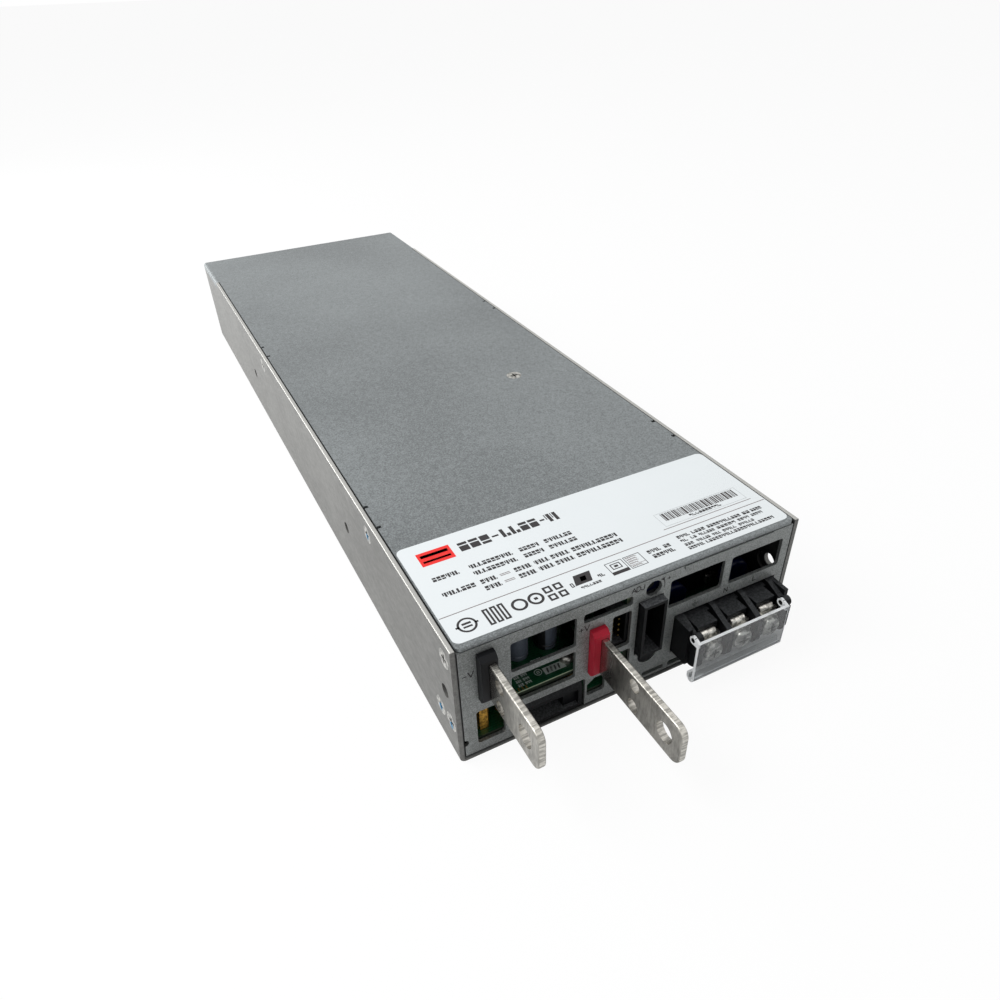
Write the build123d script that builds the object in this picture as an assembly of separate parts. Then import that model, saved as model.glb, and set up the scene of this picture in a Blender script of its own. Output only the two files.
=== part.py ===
from build123d import *
import os
from math import cos, radians, sin

os.makedirs("parts", exist_ok=True)

# Enclosed power supply, low-profile, with staggered output blades and two rear fans.
# +Z is up, the terminal panel faces -Y, and +X is to the right seen from the front.
# The origin lies on the underside, at mid-width and mid-length.
# A place written as at(d) lies d behind the face of the front panel.

# Enclosure
body_width = 107.0
body_length = 325.8
body_height = 41.0
wall = 1.5
sheet = 1.0
bend_radius = 2.0
fit_gap = 0.3
thread_gap = 0.05

# Cover: tab middles and widths along the sides, rear flanges
cover_tabs = [(59.8, 10.0), (192.0, 9.0)]
tab_drop = 8.0
relief = 1.2
rear_flange_length = 36.0
rear_flange_drop = 3.0
cover_corner = 1.5
cover_nose = 0.6
label_t = 0.1
label_corner = 2.0
label_d = (1.6, 41.4)

# Screws
screw_d = 3.0
screw_head_d = 5.6
screw_head_h = 1.4
screw_length = 4.2
side_screw_drop = 5.5
panel_screw_d = 4.2
low_screw_places = [(3.6, 13.0), (10.4, 12.4)]
top_screw_x = 26.8
top_screw_d = 120.9

# Mounting holes in the sides and the underside, with clinch nuts inside
mount_hole_r = 2.0
nut_d = 7.0
nut_h = 1.7
side_mount_d = [86.5, 220.1]
side_mount_z = 20.5
front_mount_d = 5.7
front_mount_z = 22.7
front_access_r = 3.5
base_mount_x = 42.0
base_mount_spacing = 200.0

# Front panel windows
window_corner = 0.8
panel_flange = 12.0
bead_t = 0.35

# Output blades
blade_t = 2.0
blade_h = 12.7
blade_corner = 3.2
blade_edge = 0.45
blade_inner = 34.0
blade_hole_r = 3.0
blade_hole_from_tip = 6.4
link_hole_r = 2.0
link_hole_from_tip = 18.9
link_hole_spacing = 7.2
negative_from_wall = 8.2
negative_from_roof = 11.4
negative_reach = 26.6
positive_x = -11.8
positive_above_middle = 1.2
positive_reach = 36.2
leg_width = 3.0

# Blade insulators
sleeve_reach = 2.5
sleeve_left = 2.1
sleeve_right = 0.5
sleeve_above = 2.45
sleeve_below = 0.85
sleeve_flange = 0.9
sleeve_flange_t = 1.6
sleeve_gap = 0.1

# Boards
board_t = 1.6
spacer_h = 2.4
film_t = 0.4
board_side_gap = 1.8
film_side_gap = 1.5
main_board_front = 1.4
main_board_tail = 4.8
spacer_r = 3.2
upper_board_from_blade = 4.2
upper_board_right = -16.1
upper_board_front = 1.6
upper_board_end = 62.0
upper_board_z = 14.4
control_board_x = -2.4
control_board_front = 2.0
control_board_end = 60.0
control_board_drop = 1.2

# Terminal block
pole_count = 3
pole_pitch = 10.4
block_from_wall = 21.1
rib_t = 1.7
rib_reach = 9.4
rib_bottom = 8.3
rib_top = 21.5
rib_nose_top = 18.2
rib_round = 3.0
ear_t = 1.3
ear_reach = 6.2
pad_half = 3.4
pad_reach = 5.3
pad_top = 20.0
pad_wall_d = -0.6
pad_floor = 1.2
block_wall_d = 1.2
block_rear_d = 4.0
block_rear_top = 21.9
block_foot_top = 12.0
block_depth = 9.0
pole_z = 12.6
contact_t = 1.2
contact_width = 7.8
contact_bottom = 8.9
contact_shoulder = 16.6
contact_tab_width = 4.7
contact_tab_z = 18.2
washer_size = 7.2
washer_t = 0.9
terminal_head_d = 6.4
terminal_head_h = 1.9
terminal_screw_d = 4.0
terminal_screw_length = 8.0

# Clear terminal cover
cover_t = 0.9
cover_gap = 0.2
cover_bottom = 4.4
pivot_d = -7.8
pivot_z = 19.3
pivot_pin_r = 0.7
pivot_pin_length = 1.0
pivot_ring_r = 1.3
pivot_boss_r = 1.5
pivot_running_gap = 0.06
arm_gap = 0.15
lip_r = 1.5

# Signal receptacle, signal header and low receptacle
tall_left = 0.3
tall_right = 7.7
tall_bottom = 14.0
tall_reach = 2.4
tall_wall = 0.9
tall_depth = 12.0
latch_r = 2.9
header_left = -7.9
header_height = 12.4
header_front = 1.2
header_depth = 7.5
header_wall = 0.6
collar = 0.4
collar_t = 0.65
pin_pitch = 2.0
pin_size = 0.5
low_left_gap = 2.7
low_right_gap = 0.2
low_body_left_gap = 5.2
low_body_right_gap = 4.3
low_top = 11.8
low_depth = 12.0
low_bezel = 2.2

# Voltage trimmer
trimmer_x = 4.5
trimmer_drop = 4.0
trimmer_h = 6.0
trimmer_width = 9.4
trimmer_front = 2.6
trimmer_depth = 5.0
rotor_r = 1.7
rotor_depth = 1.6
rotor_proud = 0.5

# Fans
fan_gap = 0.25
fan_apart = 4.0
fan_depth = 28.0
fan_rim = 1.2
fan_flange_t = 3.5
fan_hole_edge = 3.0
fan_hole_r = 1.6
grille_bar = 1.2
grille_slot_width = 3.0
hub_r = 10.0
hub_length = 20.0
hub_wall = 1.4
impeller_gap = 0.5
impeller_blades = 7
shaft_r = 1.5
shaft_gap = 0.05
bearing_r = 3.4

# Capacitors and pillars on the boards
output_can_r = 3.15
output_can_h = 18.0
output_can_pitch = (9.0, 10.6)
output_can_d = 13.8
small_can_r = 2.6
small_can_h = 12.0
bulk_can_r = 14.8
bulk_can_length = 48.0
hex_flats = 4.0
disc_r = 5.2
disc_d = (9.6, 13.0)
disc_z = 17.0

# Rows of tall parts from front to back: start of the first row and length of each row
rows_front = 82.0
transformer_row = 60.0
sink_row = 38.0
boost_row = 30.0

# Transformers, chokes, heatsinks and fuse
transformer_depth = 28.0
transformer_right = -12.5
transformer_leg_r = 6.5
boost_inner = (-10.0, -6.0)
boost_leg_r = 7.0
choke_r = 9.8
choke_half = 3.0
choke_t = 9.0
sink_x = (11.5, -6.0)
sink_t = 3.0
fin_reach = 9.0
fuse_r = 3.15
fuse_x = 17.0
fuse_lift = 5.2
fuse_d = (97.0, 129.0)

# Values that follow from the sizes above
front = -body_length / 2
back = body_length / 2
inner_x = body_width / 2 - wall
roof = body_height - sheet
edge_x = inner_x - fit_gap
side_screw_z = body_height - side_screw_drop
panel_screw_places = [(panel_screw_d, side_screw_z)] + low_screw_places
base_mount_d = [body_length / 2 - base_mount_spacing / 2, body_length / 2 + base_mount_spacing / 2]
negative_x = negative_from_wall - inner_x
negative_z = roof - negative_from_roof
positive_z = roof / 2 + positive_above_middle
main_board_half = inner_x - board_side_gap
fan_front = body_length - sheet - fan_depth
main_board_end = fan_front - main_board_tail
main_board_z = wall + spacer_h
board_top = main_board_z + board_t
upper_top = upper_board_z + board_t
upper_board_left = negative_x + upper_board_from_blade
control_board_top = roof - control_board_drop
block_mid = inner_x - block_from_wall
block_half = pole_count * pole_pitch / 2
rib_faces = block_half + rib_t / 2
trimmer_z = roof - trimmer_drop
tall_top = trimmer_z - trimmer_h / 2 - 0.4
tall_mid = (tall_left + tall_right) / 2
header_top = tall_top - 1.4
header_bottom = header_top - header_height
low_left = upper_board_left + low_left_gap
low_right = upper_board_right - low_right_gap
low_body_left = upper_board_left + low_body_left_gap
low_body_right = upper_board_right - low_body_right_gap
fan_z = (wall + roof) / 2
fan_size = roof - wall - 2 * fan_gap
fan_x = (fan_size + fan_apart) / 2
fan_bore_r = fan_size / 2 - fan_rim
fan_hole_offset = fan_size / 2 - fan_hole_edge
impeller_r = fan_bore_r - impeller_gap
fuse_z = board_top + fuse_lift
sink_height = roof - board_top - 4.5
boost_height = roof - board_top - 3.5
row_gap = (fan_front - rows_front - transformer_row - sink_row - boost_row - bulk_can_length) / 4
sink_front = rows_front + transformer_row + row_gap
boost_front = sink_front + sink_row + row_gap
bulk_front = boost_front + boost_row + row_gap
bridge_x = inner_x - 15.0

# Spacers under the main board, pillars under the upper board and under the negative blade
spacer_x = main_board_half - 4.2
sink_mid = sink_front + sink_row / 2
board_spacers = [(-spacer_x, 40.0), (spacer_x, 24.0), (-spacer_x - 0.6, sink_mid),
                 (spacer_x + 0.6, sink_mid), (-spacer_x, main_board_end - 7.0),
                 (spacer_x, main_board_end - 7.0)]
upper_pillars = [(upper_board_left + 2.4, 7.4), (upper_board_right - 1.6, 6.2),
                 (upper_board_left + 2.4, upper_board_end - 5.0),
                 (upper_board_right - 2.8, upper_board_end - 5.0)]
blade_pillar = (negative_x - 1.0, 5.0)


def at(distance):
    """Y place at a distance behind the face of the front panel."""
    return front + distance


def block(x0, x1, y0, y1, z0, z1):
    """Box between two opposite corners."""
    return Pos((x0 + x1) / 2, (y0 + y1) / 2, (z0 + z1) / 2) * Box(
        abs(x1 - x0), abs(y1 - y0), abs(z1 - z0))


def rod_x(radius, x0, x1, y, z):
    """Cylinder along X."""
    return Pos((x0 + x1) / 2, y, z) * Rot(0, 90, 0) * Cylinder(radius, abs(x1 - x0))


def rod_y(radius, x, y0, y1, z):
    """Cylinder along Y."""
    return Pos(x, (y0 + y1) / 2, z) * Rot(90, 0, 0) * Cylinder(radius, abs(y1 - y0))


def rod_z(radius, x, y, z0, z1):
    """Cylinder along Z."""
    return Pos(x, y, (z0 + z1) / 2) * Cylinder(radius, abs(z1 - z0))


def prism_x(points, x0, x1):
    """Outline of (y, z) points pushed along X."""
    return Pos(x0, 0, 0) * extrude(Plane.YZ * make_face(Polyline(*points, close=True)), x1 - x0)


def prism_y(points, y0, y1):
    """Outline of (x, z) points pushed along Y."""
    return Pos(0, y1, 0) * extrude(Plane.XZ * make_face(Polyline(*points, close=True)), y1 - y0)


def window(x0, x1, z0, z1, corner=window_corner):
    """Round-cornered cutter through the front panel."""
    outline = Pos((x0 + x1) / 2, (z0 + z1) / 2) * RectangleRounded(x1 - x0, z1 - z0, corner)
    return Pos(0, at(2 * sheet), 0) * extrude(Plane.XZ * outline, 3 * sheet)


def group(solids):
    """Several separate solids in one node."""
    return Compound(children=[solid for item in solids for solid in item.solids()])


def save(node, shape):
    """Write one node."""
    export_step(shape, "parts/" + node + ".step")


def flush_screw(length=screw_length):
    """Countersunk cross-recess screw, head face at the origin, shank along -Z."""
    head = Pos(0, 0, -screw_head_h / 2) * Rot(180, 0, 0) * Cone(
        screw_head_d / 2, screw_d / 2, screw_head_h)
    shank = rod_z(screw_d / 2, 0, 0, -length, -screw_head_h / 2)
    recess = block(-1.5, 1.5, -0.3, 0.3, -0.9, 0.1) + block(-0.3, 0.3, -1.5, 1.5, -0.9, 0.1)
    return head + shank - recess


def flush_seat():
    """Countersink and clearance hole for the flush screw."""
    cone = Pos(0, 0, -screw_head_h / 2) * Rot(180, 0, 0) * Cone(
        screw_head_d / 2 + thread_gap, screw_d / 2 + thread_gap, screw_head_h)
    return cone + rod_z(screw_d / 2 + thread_gap, 0, 0, -2 * screw_length, 0)


def pan_screw(head_r, head_h, shank_r, length):
    """Pan-head cross-recess screw, seat of the head at the origin, shank along -Z."""
    head = rod_z(head_r, 0, 0, 0, head_h)
    head = fillet(head.edges().group_by(Axis.Z)[-1], head_h * 0.45)
    cross = block(-head_r * 0.5, head_r * 0.5, -0.35, 0.35, head_h * 0.45, head_h * 2)
    return head + rod_z(shank_r, 0, 0, -length, 0) - cross - Rot(0, 0, 90) * cross


def facing_side(side, distance, z):
    """Places a screw so that its head faces out of a side wall."""
    return Pos(side * body_width / 2, at(distance), z) * Rot(0, side * 90, 0)


# Chassis, cover and panels

def channel_outline():
    """Folded section of the chassis, seen along Y."""
    outer = Rectangle(body_width, body_height, align=(Align.CENTER, Align.MIN))
    outer = fillet(outer.vertices().group_by(Axis.Y)[0], bend_radius)
    inner = Pos(0, wall) * Rectangle(2 * inner_x, body_height, align=(Align.CENTER, Align.MIN))
    inner = fillet(inner.vertices().group_by(Axis.Y)[0], bend_radius - wall)
    return outer - inner


def side_screw_places():
    """Every flush screw of one side wall, as distance and height."""
    return [(d, side_screw_z) for d, width in cover_tabs] + panel_screw_places


def make_chassis():
    body = Pos(0, back, 0) * extrude(Plane.XZ * channel_outline(), body_length)
    rim = body.edges().filter_by(Axis.Y).group_by(Axis.Z)[-1]
    body = fillet(rim, wall * 0.3)
    notch_top = body_height - rear_flange_drop
    body -= block(-body_width, body_width, back - rear_flange_length, back + 1, notch_top,
                  body_height + 1)
    for side in (-1, 1):
        for d, z in side_screw_places():
            body -= facing_side(side, d, z) * flush_seat()
        for d, z in [(d, side_mount_z) for d in side_mount_d] + [(front_mount_d, front_mount_z)]:
            body -= rod_x(mount_hole_r, side * (inner_x - 1), side * (inner_x + wall + 1), at(d), z)
        for d in base_mount_d:
            body -= rod_z(mount_hole_r, side * base_mount_x, at(d), -1, wall + 1)
    return body


def rolled_front_edge():
    """Cutter that rounds the upper front edge of the cover."""
    corner = block(-body_width, body_width, front - 1, front + cover_nose, body_height - cover_nose,
                   body_height + 1)
    return corner - rod_x(cover_nose, -body_width, body_width, front + cover_nose,
                          body_height - cover_nose)


def make_cover():
    plate = block(-edge_x, edge_x, front, back, roof, body_height)
    corners = plate.edges().filter_by(Axis.Z).group_by(Axis.Y)[0]
    plate = fillet(corners, cover_corner) - rolled_front_edge()
    flange_front = back - rear_flange_length + fit_gap
    rear = block(-body_width / 2, body_width / 2, flange_front, back, roof - rear_flange_drop + sheet,
                 body_height)
    rear = fillet(rear.edges().filter_by(Axis.Y).group_by(Axis.Z)[-1], cover_corner)
    rear -= block(-body_width / 2 + sheet, body_width / 2 - sheet, flange_front - 1, back + 1, 0, roof)
    plate += rear
    for side in (-1, 1):
        edge = side * edge_x
        for d, width in cover_tabs:
            plate += block(edge - side * sheet, edge, at(d - width / 2), at(d + width / 2),
                           body_height - tab_drop, roof)
            for end in (d - width / 2 - relief / 2, d + width / 2 + relief / 2):
                plate -= block(edge - side * relief, edge + side, at(end - relief / 2),
                               at(end + relief / 2), roof - 1, body_height + 1)
            plate -= rod_x(screw_d / 2 + thread_gap, edge - side * 2, edge + side, at(d), side_screw_z)
    return plate - Pos(top_screw_x, at(top_screw_d), body_height) * flush_seat()


def insulator_box(x, z):
    """Outline of a blade insulator where it passes the panel: left, right, bottom, top."""
    return (x - blade_t / 2 - sleeve_left, x + blade_t / 2 + sleeve_right,
            z - blade_h / 2 - sleeve_below, z + blade_h / 2 + sleeve_above)


def panel_windows():
    """Rectangular windows of the front panel: left, right, bottom, top."""
    capacitor_window = (negative_x + 6.0, -19.0, 26.2, roof - 3.7)
    board_window = (negative_x + 6.0, -19.0, 14.6, 24.4)
    standoff_window = (negative_x - 4.2, negative_x + 3.8, 4.9, 17.1)
    small_window = (-15.0, -9.2, 4.9, 11.0)
    long_slot = (-16.9, -2.0, roof - 6.9, roof - 3.8)
    header_window = (header_left, header_left + 5.9, header_bottom, header_top)
    link_window = (-7.8, -1.5, header_bottom - 9.3, header_bottom - 1.8)
    inlet_left = (block_mid - 20.8, block_mid - 2.6, 26.2, roof - 4.0)
    inlet_right = (block_mid - 0.1, block_mid + 18.1, 26.2, roof - 4.3)
    foot_slot = (3.6, 11.1, 2.8, 4.2)
    foot_slot_right = (12.6, 18.0, 2.7, 4.4)
    return [capacitor_window, board_window, standoff_window, small_window, long_slot, header_window,
            link_window, inlet_left, inlet_right, foot_slot, foot_slot_right]


def cut_corners():
    """Slanted window corners, as corner point and the legs along X and Z."""
    return [(header_left, header_bottom, 2.0, 2.4), (-15.0, 11.0, 2.4, -1.8), (-9.2, 11.0, -1.2, -1.8)]


def panel_plate():
    """Folded panel sheet: the face, two side flanges, a lip under the cover and a raised bead."""
    panel = block(-edge_x, edge_x, front, at(sheet), wall + fit_gap, roof - fit_gap)
    for side in (-1, 1):
        panel += block(side * (edge_x - sheet), side * edge_x, at(sheet), at(panel_flange), 8.0,
                       roof - 2.0)
    panel += block(block_mid - 15.9, block_mid + 13.1, at(sheet), at(7.0), roof - fit_gap - sheet,
                   roof - fit_gap)
    return panel + block(block_mid - 16.8, block_mid + 13.6, at(-bead_t), at(0.0), roof - 1.4,
                         roof - fit_gap)


def make_front_panel():
    panel = panel_plate()
    for x0, x1, z0, z1 in panel_windows():
        panel -= window(x0, x1, z0, z1, min(window_corner, (z1 - z0) / 2.5))
    for x, z, along, up in cut_corners():
        panel += prism_y([(x, z), (x + along, z), (x, z + up)], front, at(sheet))
    for x, z in ((negative_x, negative_z), (positive_x, positive_z)):
        x0, x1, z0, z1 = insulator_box(x, z)
        panel -= block(x0 - sleeve_gap, x1 + sleeve_gap, front - 1, at(2), z0 - sleeve_gap,
                       z1 + sleeve_gap)
    panel -= block(tall_left - fit_gap, tall_right + fit_gap, front - 1, at(2), tall_bottom - 0.8,
                   tall_top + fit_gap)
    panel -= rod_y(latch_r + fit_gap, tall_mid + 0.6, front - 1, at(2), tall_bottom - 2.3)
    panel -= window(low_left - 0.7, low_right + 0.7, -5, low_top + 0.4)
    opening = rib_faces + ear_t + fit_gap
    panel -= block(block_mid - opening, block_mid + opening, front - 1, at(2), rib_bottom - fit_gap,
                   rib_top + 0.7)
    panel -= rod_y(2.5, trimmer_x, front - 1, at(2), trimmer_z)
    panel -= rod_y(1.1, -edge_x, front - 1, at(2), 6.8)
    for side in (-1, 1):
        span = (side * (edge_x - 2), side * (edge_x + 1))
        for d, z in panel_screw_places:
            panel -= rod_x(screw_d / 2 + thread_gap, *span, at(d), z)
        panel -= rod_x(front_access_r, *span, at(front_mount_d), front_mount_z)
    return panel


def grille_slot(inner, outer, start, sweep):
    """Curved slot between two radii."""
    ring = Circle(outer) - Circle(inner)
    reach = 2 * outer
    far = [(reach * cos(radians(start + sweep * share)), reach * sin(radians(start + sweep * share)))
           for share in (0, 0.5, 1)]
    return ring & make_face(Polyline((0, 0), *far, close=True))


def fan_grille():
    """Punched finger guard: a hub disc left standing and three rings of slots."""
    rings = [fan_bore_r - 0.2 - i * (grille_slot_width + grille_bar) for i in range(3)]
    slots = [grille_slot(outer - grille_slot_width, outer, quarter * 90 + 8, 74)
             for outer in rings for quarter in range(4)]
    pattern = slots[0]
    for slot in slots[1:]:
        pattern += slot
    return pattern


def fan_hole_places(x):
    return [(x + i * fan_hole_offset, fan_z + j * fan_hole_offset) for i in (-1, 1) for j in (-1, 1)]


def make_rear_panel():
    panel = block(-edge_x, edge_x, back - sheet, back, wall + fit_gap, roof - fit_gap)
    for side in (-1, 1):
        panel += block(side * (edge_x - sheet), side * edge_x, back - 10.0, back - sheet, 8.0,
                       roof - 6.0)
        for x, z in fan_hole_places(side * fan_x):
            panel -= rod_y(fan_hole_r, x, back - 2, back + 1, z)
        grille = Plane.XZ * Pos(side * fan_x, fan_z) * fan_grille()
        panel -= Pos(0, back + 1, 0) * extrude(grille, 3)
    return panel


def make_flush_screws():
    screws = [facing_side(side, d, z) * flush_screw()
              for side in (-1, 1) for d, z in side_screw_places()]
    screws.append(Pos(top_screw_x, at(top_screw_d), body_height) * flush_screw())
    return group(screws)


def clinch_nut():
    """Round clinch nut, face on the sheet at the origin, body along -Z."""
    return rod_z(nut_d / 2, 0, 0, -nut_h, 0) - rod_z(mount_hole_r, 0, 0, -2 * nut_h, 1)


def make_mounting_nuts():
    nuts = []
    for side in (-1, 1):
        for d in side_mount_d:
            nuts.append(Pos(side * inner_x, at(d), side_mount_z) * Rot(0, side * 90, 0) * clinch_nut())
        for d in base_mount_d:
            nuts.append(Pos(side * base_mount_x, at(d), wall) * Rot(180, 0, 0) * clinch_nut())
    return group(nuts)


def make_rating_label():
    label = block(0.4 - edge_x, edge_x - 0.1, at(label_d[0]), at(label_d[1]), body_height,
                  body_height + label_t)
    return fillet(label.edges().filter_by(Axis.Z), label_corner)


# Output blades and their insulators

def make_blade(x, z, reach):
    """Flat bar with a rounded nose, one large and two small holes, and board legs."""
    low = z - blade_h / 2
    high = z + blade_h / 2
    bar = block(x - blade_t / 2, x + blade_t / 2, at(-reach), at(blade_inner), low, high)
    bar = fillet(bar.edges().filter_by(Axis.X).group_by(Axis.Y)[0], blade_corner)
    for side in bar.faces().filter_by(Axis.X):
        bar = fillet([edge for edge in bar.edges() if abs(edge.center().X - side.center().X) < 0.01],
                     blade_edge)
    for step in range(3):
        leg = blade_inner - leg_width - step * 1.6 * leg_width
        bar += block(x - blade_t / 2, x + blade_t / 2, at(leg), at(leg + leg_width), board_top,
                     low + blade_edge)
    hole_span = (x - blade_t, x + blade_t)
    bar -= rod_x(blade_hole_r, *hole_span, at(-reach + blade_hole_from_tip), z)
    for half in (-0.5, 0.5):
        bar -= rod_x(link_hole_r, *hole_span, at(-reach + link_hole_from_tip),
                     z + half * link_hole_spacing)
    return bar


def make_sleeve(x, z):
    """Moulded sleeve round a blade, with a flange behind the panel."""
    x0, x1, z0, z1 = insulator_box(x, z)
    nose = block(x0, x1, at(-sleeve_reach), at(sheet), z0, z1)
    nose_edges = nose.edges().filter_by(Axis.X).group_by(Axis.Y)[0]
    nose = chamfer(nose_edges, 1.2)
    flange = block(x0 - sleeve_flange, x1 + sleeve_flange, at(sheet), at(sheet + sleeve_flange_t),
                   z0 - sleeve_flange, z1 + sleeve_flange)
    slot = block(x - blade_t / 2 - sleeve_gap, x + blade_t / 2 + sleeve_gap, at(-9), at(9),
                 z - blade_h / 2 - sleeve_gap, z + blade_h / 2 + sleeve_gap)
    return nose + flange - slot


# Boards and what holds them

def make_main_board():
    board = block(-main_board_half, main_board_half, at(main_board_front), at(main_board_end),
                  main_board_z, board_top)
    board -= block(low_left - fit_gap, low_right + fit_gap, front, at(0.2 + low_bezel + fit_gap), 0,
                   body_height)
    board -= block(low_body_left - fit_gap, low_body_right + fit_gap, front, at(low_depth + fit_gap),
                   0, body_height)
    for x, d in board_spacers + upper_pillars + [blade_pillar, (top_screw_x, top_screw_d)]:
        board -= rod_z(screw_d / 2 + thread_gap, x, at(d), 0, 10)
    return board


def make_board_spacers():
    return group([rod_z(spacer_r, x, at(d), wall, main_board_z)
                  - rod_z(screw_d / 2 + thread_gap, x, at(d), wall + 0.4, 10)
                  for x, d in board_spacers])


def make_insulating_film():
    half = inner_x - film_side_gap
    film = block(-half, half, at(2.5), at(main_board_end), wall, wall + film_t)
    for x, d in board_spacers:
        film -= rod_z(spacer_r + fit_gap, x, at(d), 0, 5)
    for side in (-1, 1):
        for d in base_mount_d:
            film -= rod_z(nut_d / 2 + fit_gap, side * base_mount_x, at(d), 0, 5)
    return film


def hex_pillar(x, d, z0, z1, tail):
    """Hexagonal standoff with a threaded tail through the main board."""
    body = Pos(x, at(d), z0) * extrude(RegularPolygon(hex_flats / 2, 6, major_radius=False), z1 - z0)
    body += rod_z(screw_d / 2, x, at(d), z0 - tail, z0)
    return body - rod_z(screw_d / 2 + thread_gap, x, at(d), z1 - 3.5, z1 + 1)


def make_brass_standoffs():
    pillars = [hex_pillar(x, d, board_top, upper_board_z, board_t) for x, d in upper_pillars]
    pillars.append(hex_pillar(*blade_pillar, board_top, negative_z - blade_h / 2, board_t))
    tall = hex_pillar(top_screw_x, top_screw_d, board_top, roof, board_t)
    pillars.append(tall - Pos(top_screw_x, at(top_screw_d), body_height) * flush_seat())
    return group(pillars)


def make_board_screws():
    low = [Pos(x, at(d), board_top) * pan_screw(2.7, 2.0, screw_d / 2, 3.3)
           for x, d in board_spacers]
    high = [Pos(x, at(d), upper_top) * pan_screw(2.7, 2.0, screw_d / 2, 4.0)
            for x, d in upper_pillars]
    return group(low + high)


def make_upper_board():
    board = block(upper_board_left, upper_board_right, at(upper_board_front), at(upper_board_end),
                  upper_board_z, upper_top)
    for x, d in upper_pillars:
        board -= rod_z(screw_d / 2 + thread_gap, x, at(d), upper_board_z - 1, upper_top + 1)
    return board


def make_control_board():
    return block(control_board_x, control_board_x + board_t, at(control_board_front),
                 at(control_board_end), board_top, control_board_top)


# Front connectors and trimmer

def make_signal_header():
    """Open box of the header, with a thin collar that reaches past the board's edge."""
    right = control_board_x
    shell = block(header_left, right, at(header_front), at(header_front + header_depth),
                  header_bottom, header_top)
    shell += block(header_left - collar, right + 2.5, at(header_front), at(header_front + collar_t),
                   header_bottom - collar, header_top + collar)
    shell -= block(header_left + header_wall, right - header_wall, front,
                   at(header_front + header_depth - 2.0), header_bottom + header_wall,
                   header_top - header_wall)
    for x, z in header_pins():
        shell -= block(x - pin_size / 2, x + pin_size / 2, front, at(20), z - pin_size / 2,
                       z + pin_size / 2)
    return shell


def header_pins():
    """Two columns of five pins."""
    x = (header_left + control_board_x) / 2
    z = (header_bottom + header_top) / 2
    return [(x + (i - 0.5) * pin_pitch, z + (j - 2) * pin_pitch) for i in range(2) for j in range(5)]


def make_signal_pins():
    return group([block(x - pin_size / 2, x + pin_size / 2, at(header_front + 1.2),
                        at(header_front + header_depth + 1.5), z - pin_size / 2, z + pin_size / 2)
                  for x, z in header_pins()])


def make_tall_receptacle():
    board_face = control_board_x + board_t
    shell = block(tall_left, tall_right, at(-tall_reach), at(2), tall_bottom, tall_top)
    shell += block(board_face, tall_right, at(2), at(tall_depth), tall_bottom, tall_top)
    mid = tall_mid + 0.6
    lug = rod_y(latch_r, mid, at(0.2), at(3.0), tall_bottom - 2.3)
    shell += lug + block(mid - latch_r, mid + latch_r, at(0.2), at(3.0), tall_bottom - 2.3, tall_bottom)
    return shell - block(tall_left + tall_wall, tall_right - tall_wall, front - 9, at(8.0),
                         tall_bottom + tall_wall, tall_top - tall_wall)


def make_tall_contacts():
    """Contact tongue with its row of leaf contacts."""
    low = tall_bottom + 2.2
    count = 8
    pitch = (tall_top - tall_bottom - 4.4) / count
    return group([block(tall_mid + side * 0.9 - 0.2, tall_mid + side * 0.9 + 0.2, at(2.5), at(8.0),
                        low + i * pitch + 0.3, low + (i + 1) * pitch - 0.3)
                  for i in range(count) for side in (-1, 1)])


def make_low_receptacle():
    """Wide bezel in the panel opening, and the narrower socket behind it."""
    base = wall + film_t
    bezel = block(low_left, low_right, at(0.2), at(0.2 + low_bezel), base, low_top)
    bezel = chamfer(bezel.edges().filter_by(Axis.X).group_by(Axis.Y)[0].sort_by(Axis.Z)[-1], 2.0)
    bezel -= block(low_left + 1.2, low_right - 1.2, front, at(low_bezel - 0.6), base + 1.0,
                   low_top - 3.2)
    socket = block(low_body_left, low_body_right, at(0.2 + low_bezel), at(low_depth), base, low_top)
    return bezel + socket - block(low_body_left + 1.2, low_body_right - 1.2, front, at(9.0),
                                  base + 1.0, low_top - 3.2)


def make_trimmer_body():
    face = control_board_x + board_t
    body = block(face, face + trimmer_width, at(trimmer_front), at(trimmer_front + trimmer_depth),
                 trimmer_z - trimmer_h / 2, trimmer_z + trimmer_h / 2)
    bore = rod_y(rotor_r + shaft_gap, trimmer_x, front, at(trimmer_front + rotor_depth), trimmer_z)
    return body - bore


def make_trimmer_rotor():
    rotor = rod_y(rotor_r, trimmer_x, at(trimmer_front - rotor_proud),
                  at(trimmer_front + rotor_depth - 0.05), trimmer_z)
    return rotor - block(trimmer_x - rotor_r, trimmer_x + rotor_r, front,
                         at(trimmer_front - rotor_proud + 0.8), trimmer_z - 0.3, trimmer_z + 0.3)


# Terminal block

def pole_places():
    return [block_mid + (i - (pole_count - 1) / 2) * pole_pitch for i in range(pole_count)]


def rib_outline(reach):
    """Side view of a partition: sloping top and a round lower nose."""
    nose = at(-reach)
    outline = Polyline((at(block_wall_d), rib_bottom), (nose, rib_bottom), (nose, rib_nose_top),
                       (at(-1.0), rib_top), (at(block_wall_d), rib_top), close=True)
    return fillet(make_face(outline).vertices().group_by(Axis.Y)[0].sort_by(Axis.X)[0], rib_round)


def terminal_shelf():
    """Back wall, floor ledge and one pad behind each pole, with the seats of contact and screw."""
    left = block_mid - block_half
    right = block_mid + block_half
    shelf = block(left, right, at(pad_wall_d), at(block_wall_d), rib_bottom, pad_top)
    shelf += block(left, right, at(-pad_reach), at(pad_wall_d), rib_bottom, rib_bottom + pad_floor)
    for x in pole_places():
        shelf += block(x - pad_half, x + pad_half, at(-pad_reach), at(pad_wall_d), rib_bottom, pad_top)
        shelf -= block(x - contact_tab_width / 2 - 0.1, x + contact_tab_width / 2 + 0.1,
                       at(-pad_reach - 1), at(-2.4), contact_tab_z - contact_t - 0.1,
                       contact_tab_z + 0.1)
    return shelf


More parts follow.
